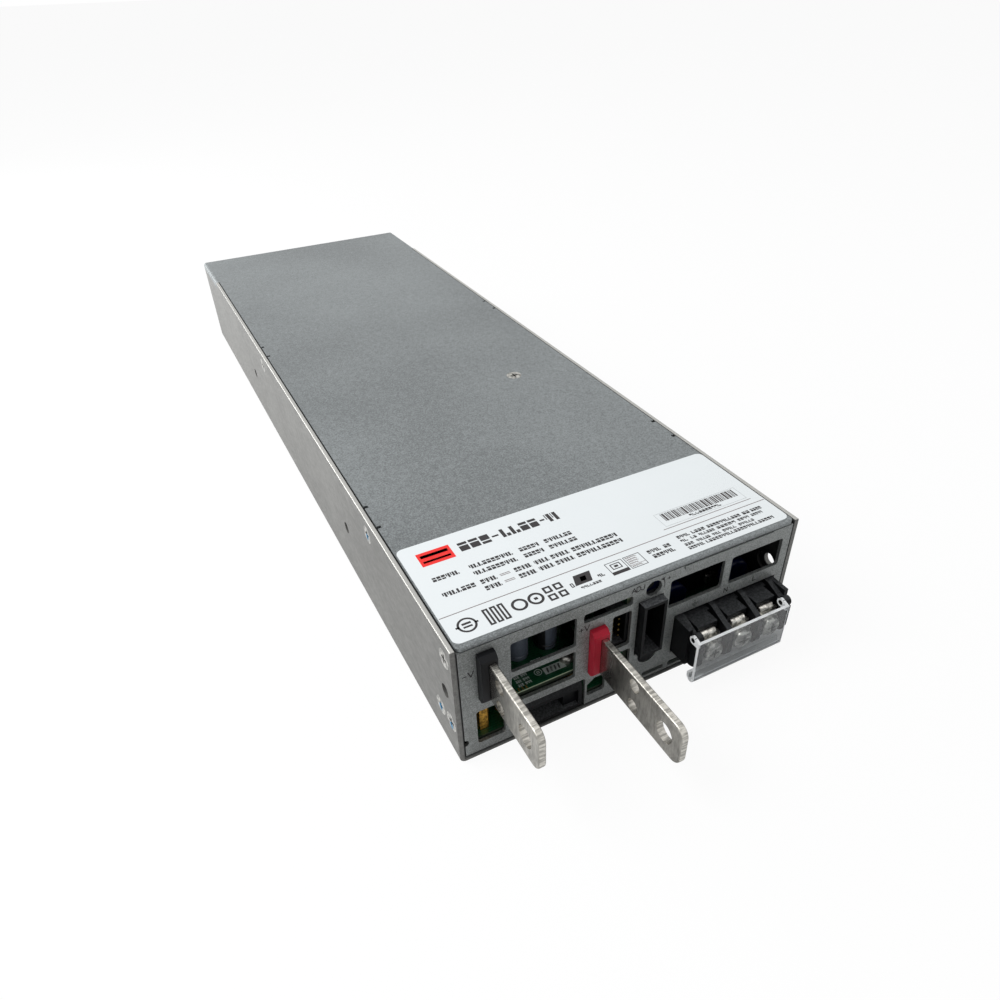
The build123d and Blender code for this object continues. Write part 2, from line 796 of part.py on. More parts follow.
def make_terminal_block():
    body = terminal_shelf()
    left = block_mid - block_half
    for i in range(pole_count + 1):
        x = left + i * pole_pitch
        body += Pos(x - rib_t / 2, 0, 0) * extrude(Plane.YZ * rib_outline(rib_reach), rib_t)
    outer = rib_faces + ear_t
    for side in (-1, 1):
        body += block(block_mid + side * rib_faces, block_mid + side * outer, at(-ear_reach),
                      at(block_wall_d), rib_bottom + 0.3, rib_top)
        end = block_mid + side * block_half
        body += rod_x(pivot_boss_r, end - rib_t / 2, end + rib_t / 2, at(pivot_d), pivot_z)
    for face in (block_mid - rib_faces, block_mid + block_half - rib_t / 2):
        body += rod_x(pivot_pin_r, face - pivot_pin_length, face, at(pivot_d), pivot_z)
    body += block(block_mid - outer, block_mid + outer, at(block_wall_d), at(block_rear_d), board_top,
                  block_rear_top)
    body += block(block_mid - outer, block_mid + outer, at(block_rear_d), at(block_depth), board_top,
                  block_foot_top)
    for x in pole_places():
        body -= rod_y(terminal_screw_d / 2 + shaft_gap, x, at(-pad_reach - 1), at(2.0), pole_z)
    return body


def make_terminal_contacts():
    """Bent contacts: a wide plate behind the washer and a narrow tab over its top."""
    contacts = []
    face = at(-pad_reach)
    for x in pole_places():
        plate = block(x - contact_width / 2, x + contact_width / 2, face - contact_t, face,
                      contact_bottom, contact_shoulder)
        tab = block(x - contact_tab_width / 2, x + contact_tab_width / 2, face - contact_t, face,
                    contact_shoulder, contact_tab_z)
        tab += block(x - contact_tab_width / 2, x + contact_tab_width / 2, face, at(-2.5),
                     contact_tab_z - contact_t, contact_tab_z)
        bend = tab.edges().filter_by(Axis.X).group_by(Axis.Z)[-1].sort_by(Axis.Y)[0]
        contact = plate + fillet(bend, contact_t * 0.9)
        contacts.append(contact - rod_y(terminal_screw_d / 2 + shaft_gap, x, face - 2, face + 2, pole_z))
    return group(contacts)


def make_terminal_washers():
    washers = []
    seat = at(-pad_reach) - contact_t
    for x in pole_places():
        half = washer_size / 2
        washer = block(x - half, x + half, seat - washer_t, seat, pole_z - half, pole_z + half)
        washer = fillet(washer.edges().filter_by(Axis.Y), 0.8)
        washers.append(washer - rod_y(terminal_screw_d / 2 + 0.15, x, seat - 3, seat + 1, pole_z))
    return group(washers)


def make_terminal_screw(x):
    seat = at(-pad_reach) - contact_t - washer_t
    screw = pan_screw(terminal_head_d / 2, terminal_head_h, terminal_screw_d / 2,
                      terminal_screw_length)
    return Pos(x, seat, pole_z) * Rot(90, 0, 0) * screw


def cover_lip(x0, x1, outer):
    """Lower edge of the clear cover, rolled inward."""
    ring = Circle(lip_r) - Circle(lip_r - cover_t)
    lower_half = ring & (Pos(0, -lip_r) * Rectangle(4 * lip_r, 2 * lip_r))
    lip = Pos(x0, outer + lip_r, cover_bottom + lip_r) * extrude(Plane.YZ * lower_half, x1 - x0)
    tip = outer + 2 * lip_r
    return lip + block(x0, x1, tip - cover_t, tip, cover_bottom + lip_r, cover_bottom + lip_r + 1.2)


def make_terminal_cover():
    """Flap whose left arm is outside the first rib and whose right arm is inside the last."""
    inner = at(-rib_reach - cover_gap)
    outer = inner - cover_t
    top = pivot_z + 0.4
    left_face = block_mid - rib_faces
    right_face = block_mid + block_half - rib_t / 2
    x0 = left_face - pivot_pin_length
    x1 = right_face - arm_gap
    plate = block(x0, x1, outer, inner, cover_bottom + lip_r, top) + cover_lip(x0, x1, outer)
    for face in (left_face, right_face):
        span = (face - pivot_pin_length, face - arm_gap)
        plate += prism_x([(outer, pivot_z - pivot_ring_r), (at(pivot_d), pivot_z - pivot_ring_r),
                          (at(pivot_d), pivot_z + pivot_ring_r), (outer, top)], *span)
        plate += rod_x(pivot_ring_r, *span, at(pivot_d), pivot_z)
        plate -= rod_x(pivot_pin_r + pivot_running_gap, face - 2 * pivot_pin_length, face, at(pivot_d),
                       pivot_z)
    return plate


# Fans

def make_fan_frame(x):
    """Square fan housing with two flanges, a barrel, four struts and a bearing tube."""
    y1 = back - sheet
    y0 = y1 - fan_depth
    half = fan_size / 2
    frame = rod_y(half - 0.2, x, y0, y1, fan_z)
    for a, b in ((y0, y0 + fan_flange_t), (y1 - fan_flange_t, y1)):
        frame += block(x - half, x + half, a, b, fan_z - half, fan_z + half)
    frame -= rod_y(fan_bore_r, x, y0 - 1, y1 + 1, fan_z)
    for hx, hz in fan_hole_places(x):
        frame -= rod_y(fan_hole_r, hx, y0 - 1, y1 + 1, hz)
    plate = rod_y(hub_r, x, y0, y0 + 2.0, fan_z)
    for angle in (45, 135, 225, 315):
        strut = Box(fan_bore_r - hub_r + 1.6, 2.0, 2.2)
        plate += (Pos(x, y0 + 1.0, fan_z) * Rot(0, angle, 0)
                  * Pos((fan_bore_r + hub_r) / 2, 0, 0) * strut)
    plate += rod_y(bearing_r, x, y0 + 2.0, y0 + 16.0, fan_z)
    return frame + plate - rod_y(shaft_r + shaft_gap, x, y0 + 1.0, y0 + 17.0, fan_z)


def blade_section(radius, pitch, chord):
    """Thin bowed blade section on a plane at a radius, pitched to the fan's axis."""
    bow = chord * 0.12
    thick = 0.9
    outline = ThreePointArc((-chord / 2, 0), (0, bow + thick), (chord / 2, 0))
    under = ThreePointArc((chord / 2, 0), (0, bow), (-chord / 2, 0))
    section = make_face(outline + under)
    return Plane((radius, 0, 0), x_dir=(0, 0, 1), z_dir=(1, 0, 0)) * Rot(0, 0, pitch) * section


def make_impeller(x):
    """Hub cup with seven twisted blades and its shaft, turning about Y."""
    y0 = back - sheet - fan_depth + 2.6
    blades = [(0, 12.0, 48.0), (0.5, 13.6, 40.0), (1, 15.0, 33.0)]
    root = hub_r - 0.6
    span = impeller_r + 0.8 - root
    sections = [blade_section(root + share * span, pitch, chord) for share, chord, pitch in blades]
    blade = loft(sections) & Cylinder(impeller_r, 60)
    wheel = rod_z(hub_r, 0, 0, 0, hub_length) - rod_z(hub_r - hub_wall, 0, 0, -1, hub_length - hub_wall)
    for i in range(impeller_blades):
        wheel += Rot(0, 0, i * 360 / impeller_blades) * Pos(0, 0, hub_length / 2 + 0.6) * blade
    core = rod_z(hub_r - hub_wall, 0, 0, -1, hub_length - hub_wall)
    wheel -= core
    wheel += rod_z(shaft_r, 0, 0, -1.2, hub_length - hub_wall)
    return Pos(x, y0, fan_z) * Rot(-90, 0, 0) * wheel


def make_fan_screws():
    screw = pan_screw(2.6, 1.6, fan_hole_r - thread_gap, 8.0)
    return group([Pos(x, back, z) * Rot(-90, 0, 0) * screw
                  for side in (-1, 1) for x, z in fan_hole_places(side * fan_x)])


# Parts on the boards

def can(radius, height):
    """Round capacitor with a rolled groove near its foot, standing at the origin."""
    body = rod_z(radius, 0, 0, 0, height)
    body = fillet(body.edges().group_by(Axis.Z)[-1], radius * 0.12)
    body = fillet(body.edges().group_by(Axis.Z)[0], radius * 0.12)
    groove = Pos(0, 0, height * 0.1) * Torus(radius + 0.3, 0.6)
    return body - groove


def make_output_capacitors():
    """Rows of cans on the upper board, as many columns as its width takes."""
    across, along = output_can_pitch
    columns = int((upper_board_right - upper_board_left - 5.0) / across)
    large = [Pos(upper_board_right - 4.1 - i * across, at(output_can_d + k * along), upper_top)
             * can(output_can_r, output_can_h) for i in range(columns) for k in range(4)]
    small = [Pos(upper_board_left + 3.6, at(d), upper_top) * can(small_can_r, small_can_h)
             for d in (18.0, 30.0, 42.0)]
    return group(large + small)


def make_bulk_capacitors():
    lying = Rot(-90, 0, 0) * can(bulk_can_r, bulk_can_length)
    pitch = (2 * inner_x - 4.0) / 3
    return group([Pos((i - 1) * pitch, at(bulk_front), board_top + bulk_can_r) * lying
                  for i in range(3)])


def wound_core(x, d, width, depth, height, leg_r, ring_r):
    """Ferrite core with a round leg, and the ring of winding round that leg."""
    y = at(d)
    yoke = height * 0.17
    low = board_top + yoke
    high = board_top + height - yoke
    core = block(x - width / 2, x + width / 2, y - depth / 2, y + depth / 2, board_top,
                 board_top + height)
    core -= rod_z(ring_r + 0.4, x, y, low, high) - rod_z(leg_r, x, y, low, high)
    core -= block(x - ring_r * 0.55, x + ring_r * 0.55, y - depth, y + depth, low, high) - rod_z(
        leg_r, x, y, low, high)
    winding = rod_z(ring_r, x, y, low + 0.2, high - 0.2) - rod_z(leg_r + 0.3, x, y, low, high)
    return core, winding


def toroid_choke(x, d, z, radius, half_width, thick):
    """Standing ring core with two separate half windings."""
    core = Rot(90, 0, 0) * Pos(0, 0, -thick / 2) * extrude(
        Circle(radius + half_width) - Circle(radius - half_width), thick)
    grow = 1.6
    section = Rectangle(2 * (half_width + grow), thick + 2 * grow) - Rectangle(
        2 * half_width + 0.3, thick + 0.3)
    wind = revolve(Plane.XZ * Pos(radius, 0) * section, Axis.Z, 130)
    halves = [Rot(90, 0, 0) * Rot(0, 0, turn) * wind for turn in (25, 205)]
    place = Pos(x, at(d), z)
    return place * core, [place * half for half in halves]


def make_transformers():
    width = main_board_half - 3.7 + transformer_right
    x = transformer_right - width / 2
    half = transformer_depth / 2
    places = (rows_front + half, rows_front + transformer_row - half)
    pairs = [wound_core(x, d, width, transformer_depth, sink_height, transformer_leg_r, half - 0.8)
             for d in places]
    return group([core for core, winding in pairs]), group([winding for core, winding in pairs])


def make_boost_chokes():
    width = main_board_half - 4.2 + boost_inner[0]
    places = (boost_inner[0] - width / 2, boost_inner[1] + width / 2)
    pairs = [wound_core(x, boost_front + boost_row / 2, width, boost_row, boost_height, boost_leg_r,
                        boost_row / 2 - 1.2) for x in places]
    return group([core for core, winding in pairs]), group([winding for core, winding in pairs])


def make_filter_chokes():
    places = ((16.0, 44.0), (inner_x - 16.6, 60.0))
    rings = [toroid_choke(x, d, board_top + 15.2, choke_r, choke_half, choke_t) for x, d in places]
    return group([core for core, halves in rings]), group([half for core, halves in rings
                                                           for half in halves])


def make_film_capacitors():
    """Boxed capacitors, as middle across and along, width, length and height."""
    places = [(inner_x - 21.0, 26.0, 22.0, 12.0, 20.0), (14.0, 80.0, 12.0, 24.0, 18.0),
              (14.2 - main_board_half, sink_mid, 14.0, 26.0, 22.0)]
    boxes = [block(x - w / 2, x + w / 2, at(d - l / 2), at(d + l / 2), board_top, board_top + h)
             for x, d, w, l, h in places]
    return group([fillet(box.edges().filter_by(Axis.Z), 1.0) for box in boxes])


def make_disc_capacitors():
    """Discs standing on two leads behind the terminal block."""
    discs = []
    for x in (block_mid - 10.4, block_mid + 12.8):
        disc = rod_y(disc_r, x, at(disc_d[0]), at(disc_d[1]), disc_z)
        disc = fillet(disc.edges(), 1.3)
        for lead in (-2.5, 2.5):
            disc += rod_z(0.4, x + lead, at((disc_d[0] + disc_d[1]) / 2), board_top, disc_z - 3.2)
        discs.append(disc)
    return group(discs)


def make_relay():
    box = block(inner_x - 22.0, inner_x - 6.0, at(72.0), at(86.0), board_top, board_top + 16.0)
    return fillet(box.edges().filter_by(Axis.Z), 0.8)


def make_fuse_tube():
    return rod_y(fuse_r - 0.4, fuse_x, at(fuse_d[0] + 1.0), at(fuse_d[1] - 1.0), fuse_z)


def make_fuse_caps():
    """Two end caps over the tube and the clip that carries each."""
    caps = []
    for end, inward in ((fuse_d[0], 1), (fuse_d[1], -1)):
        cap = rod_y(fuse_r, fuse_x, at(end), at(end + inward * 6.0), fuse_z)
        cap -= rod_y(fuse_r - 0.4, fuse_x, at(end + inward), at(end + inward * 7.0), fuse_z)
        post = at(end + inward * 4.4)
        cap += block(fuse_x - 0.4, fuse_x + 0.4, post - 1.5, post + 1.5, board_top,
                     fuse_z - fuse_r + 0.1)
        caps.append(cap)
    return group(caps)


def finned_heatsink(x, d0, d1):
    """Upright aluminium plate with six fins on its right side."""
    top = board_top + sink_height
    plate = block(x, x + sink_t, at(d0), at(d1), board_top, top)
    for i in range(6):
        z = top - 2.0 - i * (sink_height - 3.2) / 5
        plate += block(x + sink_t, x + sink_t + fin_reach, at(d0), at(d1), z - 0.6, z + 0.6)
    return plate


def power_package(x, d):
    """Transistor package flat on the left face of a heatsink, legs in the board."""
    body = block(x - 5.0, x, at(d - 7.5), at(d + 7.5), board_top + 7.0, board_top + 27.0)
    body = chamfer(body.edges().filter_by(Axis.Y).group_by(Axis.X)[0], 0.8)
    for lead in (-5.0, 0.0, 5.0):
        body += block(x - 3.0, x - 2.2, at(d + lead - 0.6), at(d + lead + 0.6), board_top,
                      board_top + 7.0)
    return body


def make_heatsinks():
    return group([finned_heatsink(sink_x[0], sink_front, sink_front + sink_row),
                  finned_heatsink(bridge_x, 96.0, 140.0), finned_heatsink(sink_x[1], 68.0, 140.0)])


def make_power_transistors():
    return group([power_package(sink_x[0], sink_front + d) for d in (10.0, 28.0)]
                 + [power_package(sink_x[1], d) for d in (78.0, 112.0, 130.0)])


def make_bridge_rectifiers():
    return group([power_package(bridge_x, d) for d in (104.0, 132.0)])


def main():
    save("chassis", make_chassis())
    save("top_cover", make_cover())
    save("front_panel", make_front_panel())
    save("rear_panel", make_rear_panel())
    save("flush_screws", make_flush_screws())
    save("mounting_nuts", make_mounting_nuts())
    save("rating_label", make_rating_label())
    save("negative_blade", make_blade(negative_x, negative_z, negative_reach))
    save("positive_blade", make_blade(positive_x, positive_z, positive_reach))
    save("negative_insulator", make_sleeve(negative_x, negative_z))
    save("positive_insulator", make_sleeve(positive_x, positive_z))
    save("main_board", make_main_board())
    save("board_spacers", make_board_spacers())
    save("insulating_film", make_insulating_film())
    save("brass_standoffs", make_brass_standoffs())
    save("board_screws", make_board_screws())
    save("upper_board", make_upper_board())
    save("control_board", make_control_board())
    save("signal_header", make_signal_header())
    save("signal_pins", make_signal_pins())
    save("tall_receptacle", make_tall_receptacle())
    save("tall_contacts", make_tall_contacts())
    save("low_receptacle", make_low_receptacle())
    save("trimmer_body", make_trimmer_body())
    save("trimmer_rotor", make_trimmer_rotor())
    save("terminal_block", make_terminal_block())
    save("terminal_contacts", make_terminal_contacts())
    save("terminal_washers", make_terminal_washers())
    for name, x in zip(("earth", "neutral", "line"), pole_places()):
        save("terminal_screw_" + name, make_terminal_screw(x))
    save("terminal_cover", make_terminal_cover())
    for name, x in (("left", -fan_x), ("right", fan_x)):
        save("fan_frame_" + name, make_fan_frame(x))
        save("fan_impeller_" + name, make_impeller(x))
    save("fan_screws", make_fan_screws())
    save("output_capacitors", make_output_capacitors())
    save("bulk_capacitors", make_bulk_capacitors())
    for name, pair in (("transformer", make_transformers()), ("boost_choke", make_boost_chokes()),
                       ("filter_choke", make_filter_chokes())):
        save(name + "_cores", pair[0])
        save(name + "_windings", pair[1])
    save("film_capacitors", make_film_capacitors())
    save("disc_capacitors", make_disc_capacitors())
    save("inrush_relay", make_relay())
    save("fuse_tube", make_fuse_tube())
    save("fuse_caps", make_fuse_caps())
    save("heatsinks", make_heatsinks())
    save("power_transistors", make_power_transistors())
    save("bridge_rectifiers", make_bridge_rectifiers())


main()
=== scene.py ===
"""Enclosed power supply: finishes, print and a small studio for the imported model."""

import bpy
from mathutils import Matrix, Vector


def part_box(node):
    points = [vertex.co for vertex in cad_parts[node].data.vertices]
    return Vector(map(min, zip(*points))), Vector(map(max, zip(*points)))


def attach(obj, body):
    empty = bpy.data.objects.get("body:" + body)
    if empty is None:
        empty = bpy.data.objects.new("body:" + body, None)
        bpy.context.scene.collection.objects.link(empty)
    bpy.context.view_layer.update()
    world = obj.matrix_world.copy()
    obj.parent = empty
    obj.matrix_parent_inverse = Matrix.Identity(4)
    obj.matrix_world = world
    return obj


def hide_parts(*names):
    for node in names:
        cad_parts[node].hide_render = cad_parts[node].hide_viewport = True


bl_info = {
    "name": "Enclosed Power Supply",
    "version": (1, 0, 0),
    "blender": (4, 5, 0),
    "location": "3D View > Sidebar > Power Supply",
    "description": "Gives the enclosed power supply its finishes, print and studio",
    "category": "Object",
}

from functools import reduce
from math import cos, radians, sin

import bmesh
import bpy
from bpy.props import FloatProperty, FloatVectorProperty, PointerProperty
from mathutils import Vector

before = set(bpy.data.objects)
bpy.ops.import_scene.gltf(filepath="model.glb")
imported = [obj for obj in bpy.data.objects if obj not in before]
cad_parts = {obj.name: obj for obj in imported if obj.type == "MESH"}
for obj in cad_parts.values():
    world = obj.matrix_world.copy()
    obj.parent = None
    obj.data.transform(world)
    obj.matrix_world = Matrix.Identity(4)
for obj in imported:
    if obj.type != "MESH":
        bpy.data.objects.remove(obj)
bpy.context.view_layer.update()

MM = 0.001
X, Y, Z = range(3)

# Places read from the model, in metres
PANEL_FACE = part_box("chassis")[0].y
LABEL_LOW, LABEL_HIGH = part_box("rating_label")
UPPER_BOARD_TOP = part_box("upper_board")[1].z

# Inner faces of the sheets, which get painted shade, and top of the walls, which gets a painted
# highlight, in millimetres from the middle or the base
PANEL_INNER = 161.3
COVER_INNER = 40.1
TAB_INNER = 51.6
WALL_INNER = 52.1
BASE_INNER = 1.0
WALL_TOP = 40.9

# Y and Z of the left wall's screws that were set in thread lock, in millimetres
LOCKED_SCREWS = ((-102.9, 34.6), (-152.3, 11.6), (-159.2, 11.4))

# X at which the left wall's screw heads begin, in millimetres
LEFT_HEADS = -50.0

# Tops of the capacitor sleeves, in millimetres along the cans
OUTPUT_CAN_TOP = 34.1
BULK_CAN_TOP = 124.3
# X beyond which a sleeve shows its coloured side all round, in millimetres
PLAIN_SLEEVE = -24.6

# Y where the blades' smooth tin begins to turn matt, and where it is matt, in millimetres
BLADE_SMOOTH, BLADE_MATT = -163.0, -182.0

# Height above which a board's end is pale, and below which it gets painted shade, in millimetres
PALE_END = 15.5

# Inks of the label, in the order of its material slots
INK, ACCENT, RULE, LIGHT, FAINT, DARK_RULE = range(6)
# Inks of the upper board's print, after its white one
GOLD, GAP = 1, 2

# Stroke weight of the print, as a share of its height
THIN, MEDIUM, HEAVY = 0.2, 0.28, 0.34

# Name, place, target, size and share of the key light's power
LAMPS = (
    ("key_lamp", (-0.7, 0.1, 0.95), (0.0, 0.0, 0.02), 0.8, 1.0),
    ("side_lamp", (-0.42, 0.5, 0.22), (-0.05, 0.12, 0.02), 0.4, 0.16),
)
FLOOR_HALF = 6.0
FLOOR_DROP = 0.0002


# Properties

def tone(name, description, default):
    """Colour property."""
    return FloatVectorProperty(name=name, description=description, default=default, size=3,
                               min=0.0, max=1.0, subtype="COLOR")


def length(name, description, default):
    """Length property in metres."""
    return FloatProperty(name=name, description=description, default=default, min=0.0,
                         precision=5, unit="LENGTH")


class SheetFinish(bpy.types.PropertyGroup):
    """Sheet metal of the case."""
    cover: tone("Cover", "Zinc-coated steel of the top cover", (0.19, 0.206, 0.21))
    panel: tone("Panels", "Zinc-coated steel of the front and rear panels", (0.215, 0.226, 0.222))
    chassis: tone("Chassis", "Brushed aluminium of the channel", (0.163, 0.162, 0.154))
    # Painted shade: the inner faces of the case are coloured dark, as if in shadow
    inside: tone("Inside", "Dull inner faces of the case", (0.02, 0.021, 0.02))
    grain: length("Grain", "Size of the mottling on the zinc coat", 0.0004)


class MetalFinish(bpy.types.PropertyGroup):
    """Small metal parts."""
    blade: tone("Blades", "Tinned copper of the output blades", (0.31, 0.3, 0.275))
    zinc: tone("Fasteners", "Zinc-plated screws, nuts and washers", (0.34, 0.335, 0.31))
    brass: tone("Brass", "Machined brass standoffs", (0.36, 0.2, 0.035))
    gold: tone("Contacts", "Gold flash on pads and contacts", (0.6, 0.42, 0.12))
    copper: tone("Copper", "Enamelled copper wire", (0.5, 0.16, 0.05))
    heatsink: tone("Heatsinks", "Plain aluminium heatsinks", (0.2, 0.2, 0.2))
    can_end: tone("Can ends", "Bare aluminium ends of the capacitors", (0.3, 0.3, 0.3))
    nickel: tone("Fuse caps", "Nickel-plated caps of the fuse", (0.7, 0.69, 0.66))
    thread_lock: tone("Thread lock", "Blue thread lock on the side screws", (0.02, 0.16, 0.3))


class MouldingFinish(bpy.types.PropertyGroup):
    """Moulded plastics."""
    black: tone("Black", "Connectors, terminal block and fans", (0.0032, 0.0036, 0.0042))
    charcoal: tone("Negative insulator", "Insulator round the negative blade",
                   (0.0045, 0.005, 0.006))
    crimson: tone("Positive insulator", "Insulator round the positive blade", (0.37, 0.007, 0.024))
    clear: tone("Clear cover", "Polycarbonate flap over the terminals", (0.76, 0.78, 0.79))
    # Painted shade: blue darkened almost to black, as these parts lie in shadow inside the case
    blue: tone("Blue", "Disc capacitors and the trimmer body", (0.001, 0.004, 0.04))
    sleeve: tone("Capacitor sleeve", "Slate sleeves of the output capacitors", (0.085, 0.1, 0.13))
    sleeve_back: tone("Sleeve back", "Dark back of the sleeves", (0.004, 0.004, 0.005))
    # Cut edges of the clear cover: partly frosting, partly a painted highlight
    edge_frost_and_highlight: tone("Frosted edges", "Cut edges of the clear cover", (0.9, 0.92, 0.93))
    solder_mask: tone("Solder mask", "Green lacquer of the boards", (0.003, 0.05, 0.018))
    board_edge: tone("Board edge", "Pale glass-fibre end of the upper boards", (0.3, 0.36, 0.24))
    # Painted shade: the ends of the boards are coloured dark, as if in shadow
    shaded_board_end: tone("Board end", "Dark end of the main board", (0.012, 0.02, 0.01))
    rotor: tone("Trimmer rotor", "Dark rotor of the voltage trimmer", (0.012, 0.012, 0.011))
    # Pale colour of upward faces: partly dust, partly painted light falling on the tops
    dust: tone("Dust", "Dust on upward faces", (0.2, 0.21, 0.22))
    film_sheet: tone("Insulating film", "Film under the main board", (0.03, 0.03, 0.028))
    # Painted shade: near black in place of the boxes' own colour, as they lie in shadow inside the
    # case
    shaded_film_box: tone("Film capacitors", "Boxes of the film capacitors", (0.012, 0.012, 0.013))
    ferrite: tone("Ferrite", "Bare ferrite cores", (0.03, 0.03, 0.032))
    coating: tone("Coated cores", "Green coating of the filter cores", (0.02, 0.09, 0.04))
    tape: tone("Tape", "Yellow tape round the transformers", (0.6, 0.42, 0.05))
    ceramic: tone("Ceramic", "Ceramic tube of the fuse", (0.62, 0.6, 0.55))


class LabelFinish(bpy.types.PropertyGroup):
    """Rating label and print."""
    film: tone("Film", "White film of the label", (0.735, 0.775, 0.79))
    ink: tone("Ink", "Dark ink of the print", (0.008, 0.006, 0.007))
    accent: tone("Accent", "Red field on the label", (0.74, 0.012, 0.008))
    rule: tone("Rule", "Thin rule across the label", (0.2, 0.17, 0.17))
    faint: tone("Faint rule", "Outline round the row of bars", (0.4, 0.42, 0.43))
    silkscreen: tone("Board print", "White print on the upper board", (0.6, 0.66, 0.62))
    gap: tone("Board print gaps", "Lacquer between the board's marks", (0.01, 0.03, 0.015))
    film_thickness: length("Thickness", "Height of the film over the cover", 0.00008)


class StudioSetup(bpy.types.PropertyGroup):
    """Camera, floor and lights."""
    floor: tone("Floor", "Colour of the floor", (0.86, 0.865, 0.87))
    camera_place: FloatVectorProperty(name="Camera place", description="Where the camera stands",
                                      default=(-0.094202, -0.278741, 0.168099), size=3,
                                      subtype="TRANSLATION", unit="LENGTH", precision=5)
    camera_turn: FloatVectorProperty(name="Camera turn", description="How the camera is turned",
                                     default=[radians(turn) for turn
                                              in (52.9226, 1.28755, -27.70725)],
                                     size=3, subtype="EULER", unit="ROTATION", precision=4)
    camera_lens: FloatProperty(name="Lens", description="Focal length of the camera",
                               default=27.29291, min=1.0, subtype="DISTANCE_CAMERA")
    camera_shift: FloatVectorProperty(name="Camera shift", description="Shift of the framing",
                                      default=(-0.014217, 0.029718), size=2, precision=6)
    room_level: FloatProperty(name="Room light", description="Strength of the even room light",
                              default=0.4, min=0.0, subtype="FACTOR")
    key_power: FloatProperty(name="Key light", description="Power of the large soft lamp",
                             default=13.0, min=0.0, unit="POWER")


GROUPS = (
    ("supply_sheet", SheetFinish),
    ("supply_metal", MetalFinish),
    ("supply_moulding", MouldingFinish),
    ("supply_label", LabelFinish),
    ("supply_studio", StudioSetup),
)


# Shader expressions

class Field:
    """A node output that number expressions can be written on."""

    def __init__(self, shade, socket):
        self.shade = shade
        self.socket = socket

    def math(self, operation, *values):
        """Math node on fields and plain numbers."""
        return self.shade.node("ShaderNodeMath", {"operation": operation}, dict(enumerate(values)))

    def __add__(self, other):
        return self.math("ADD", self, other)

    def __radd__(self, other):
        return self.math("ADD", other, self)

    def __sub__(self, other):
        return self.math("SUBTRACT", self, other)

    def __rsub__(self, other):
        return self.math("SUBTRACT", other, self)

    def __mul__(self, other):
        return self.math("MULTIPLY", self, other)

    def __rmul__(self, other):
        return self.math("MULTIPLY", other, self)

    def __truediv__(self, other):
        return self.math("DIVIDE", self, other)

    def __pow__(self, other):
        return self.math("POWER", self, other)

    def __abs__(self):
        return self.math("ABSOLUTE", self)

    def largest(self, other):
        """Larger of two fields."""
        return self.math("MAXIMUM", self, other)

    def fraction(self):
        """Part after the decimal point, which restarts at every whole number."""
        return self.math("FRACT", self)

    def rise(self, low, high):
        """0 below low, 1 above high, smooth between; falls instead where low is the larger."""
        return self.shade.node("ShaderNodeMapRange", {"interpolation_type": "SMOOTHSTEP"},
                               {"Value": self, "From Min": low, "From Max": high})


class Shade:
    """Node tree of one material or of the world."""

    def __init__(self, tree):
        self.tree = tree
        self.tree.nodes.clear()

    def join(self, target, value):
        """Link a field to a socket, or write a plain value on it."""
        if isinstance(value, Field):
            self.tree.links.new(value.socket, target)
        elif target.type == "RGBA" and len(value) == 3:
            target.default_value = (*value, 1.0)
        else:
            target.default_value = value

    def node(self, kind, settings=None, sockets=None, output=0):
        """Add a node: its settings first, then the values or links of its sockets."""
        node = self.tree.nodes.new(kind)
        for name, value in (settings or {}).items():
            setattr(node, name, value)
        for key, value in (sockets or {}).items():
            self.join(node.inputs[key], value)
        return Field(self, node.outputs[output]) if node.outputs else None

    def place(self, stretch=(1.0, 1.0, 1.0)):
        """Place on the part in millimetres, optionally stretched along the axes."""
        spot = self.node("ShaderNodeTexCoord", output="Object")
        scale = [value / MM for value in stretch]
        return self.node("ShaderNodeVectorMath", {"operation": "MULTIPLY"}, {0: spot, 1: scale})

    def along(self, axis):
        """Place along one axis of the part in millimetres."""
        return self.node("ShaderNodeSeparateXYZ", None, {0: self.place()}, axis)

    def axes(self):
        """X, Y and Z on the part in millimetres."""
        return [self.along(axis) for axis in (X, Y, Z)]

    def noise(self, size, detail=3.0, rough=0.55, stretch=(1.0, 1.0, 1.0)):
        """Cloudy pattern whose blotches are about size millimetres across."""
        return self.node("ShaderNodeTexNoise", None,
                         {"Vector": self.place(stretch), "Scale": 1.0 / size, "Detail": detail,
                          "Roughness": rough})

    def facing(self, axis):
        """How far a face looks along an axis of the part, from -1 to 1."""
        normal = self.node("ShaderNodeTexCoord", output="Normal")
        return self.node("ShaderNodeSeparateXYZ", None, {0: normal}, axis)

    def blend(self, factor, first, second):
        """Mix two colours."""
        return self.node("ShaderNodeMix", {"data_type": "RGBA"},
                         {0: factor, 6: first, 7: second}, 2)

    def shader(self, height=None, depth=0.02, **channels):
        """One surface shader; height is bumped by depth millimetres."""
        sockets = {name.replace("_", " ").title().replace("Ior", "IOR"): value
                   for name, value in channels.items()}
        if height is not None:
            sockets["Normal"] = self.node("ShaderNodeBump", None, {
                "Height": height, "Distance": depth * MM, "Strength": 1.0})
        return self.node("ShaderNodeBsdfPrincipled", None, sockets)

    def surface(self, height=None, depth=0.02, **channels):
        """Finish the tree with one surface shader."""
        self.output(self.shader(height, depth, **channels))

    def output(self, shader):
        """Finish the tree with a shader."""
        self.node("ShaderNodeOutputMaterial", None, {"Surface": shader})


def new_material(name):
    """A material and the tree to write on."""
    material = bpy.data.materials.new(name)
    material.use_nodes = True
    return material, Shade(material.node_tree)


def scaled(colour, share):
    """Colour multiplied by a share."""
    return tuple(min(1.0, value * share) for value in colour)


# Finishes

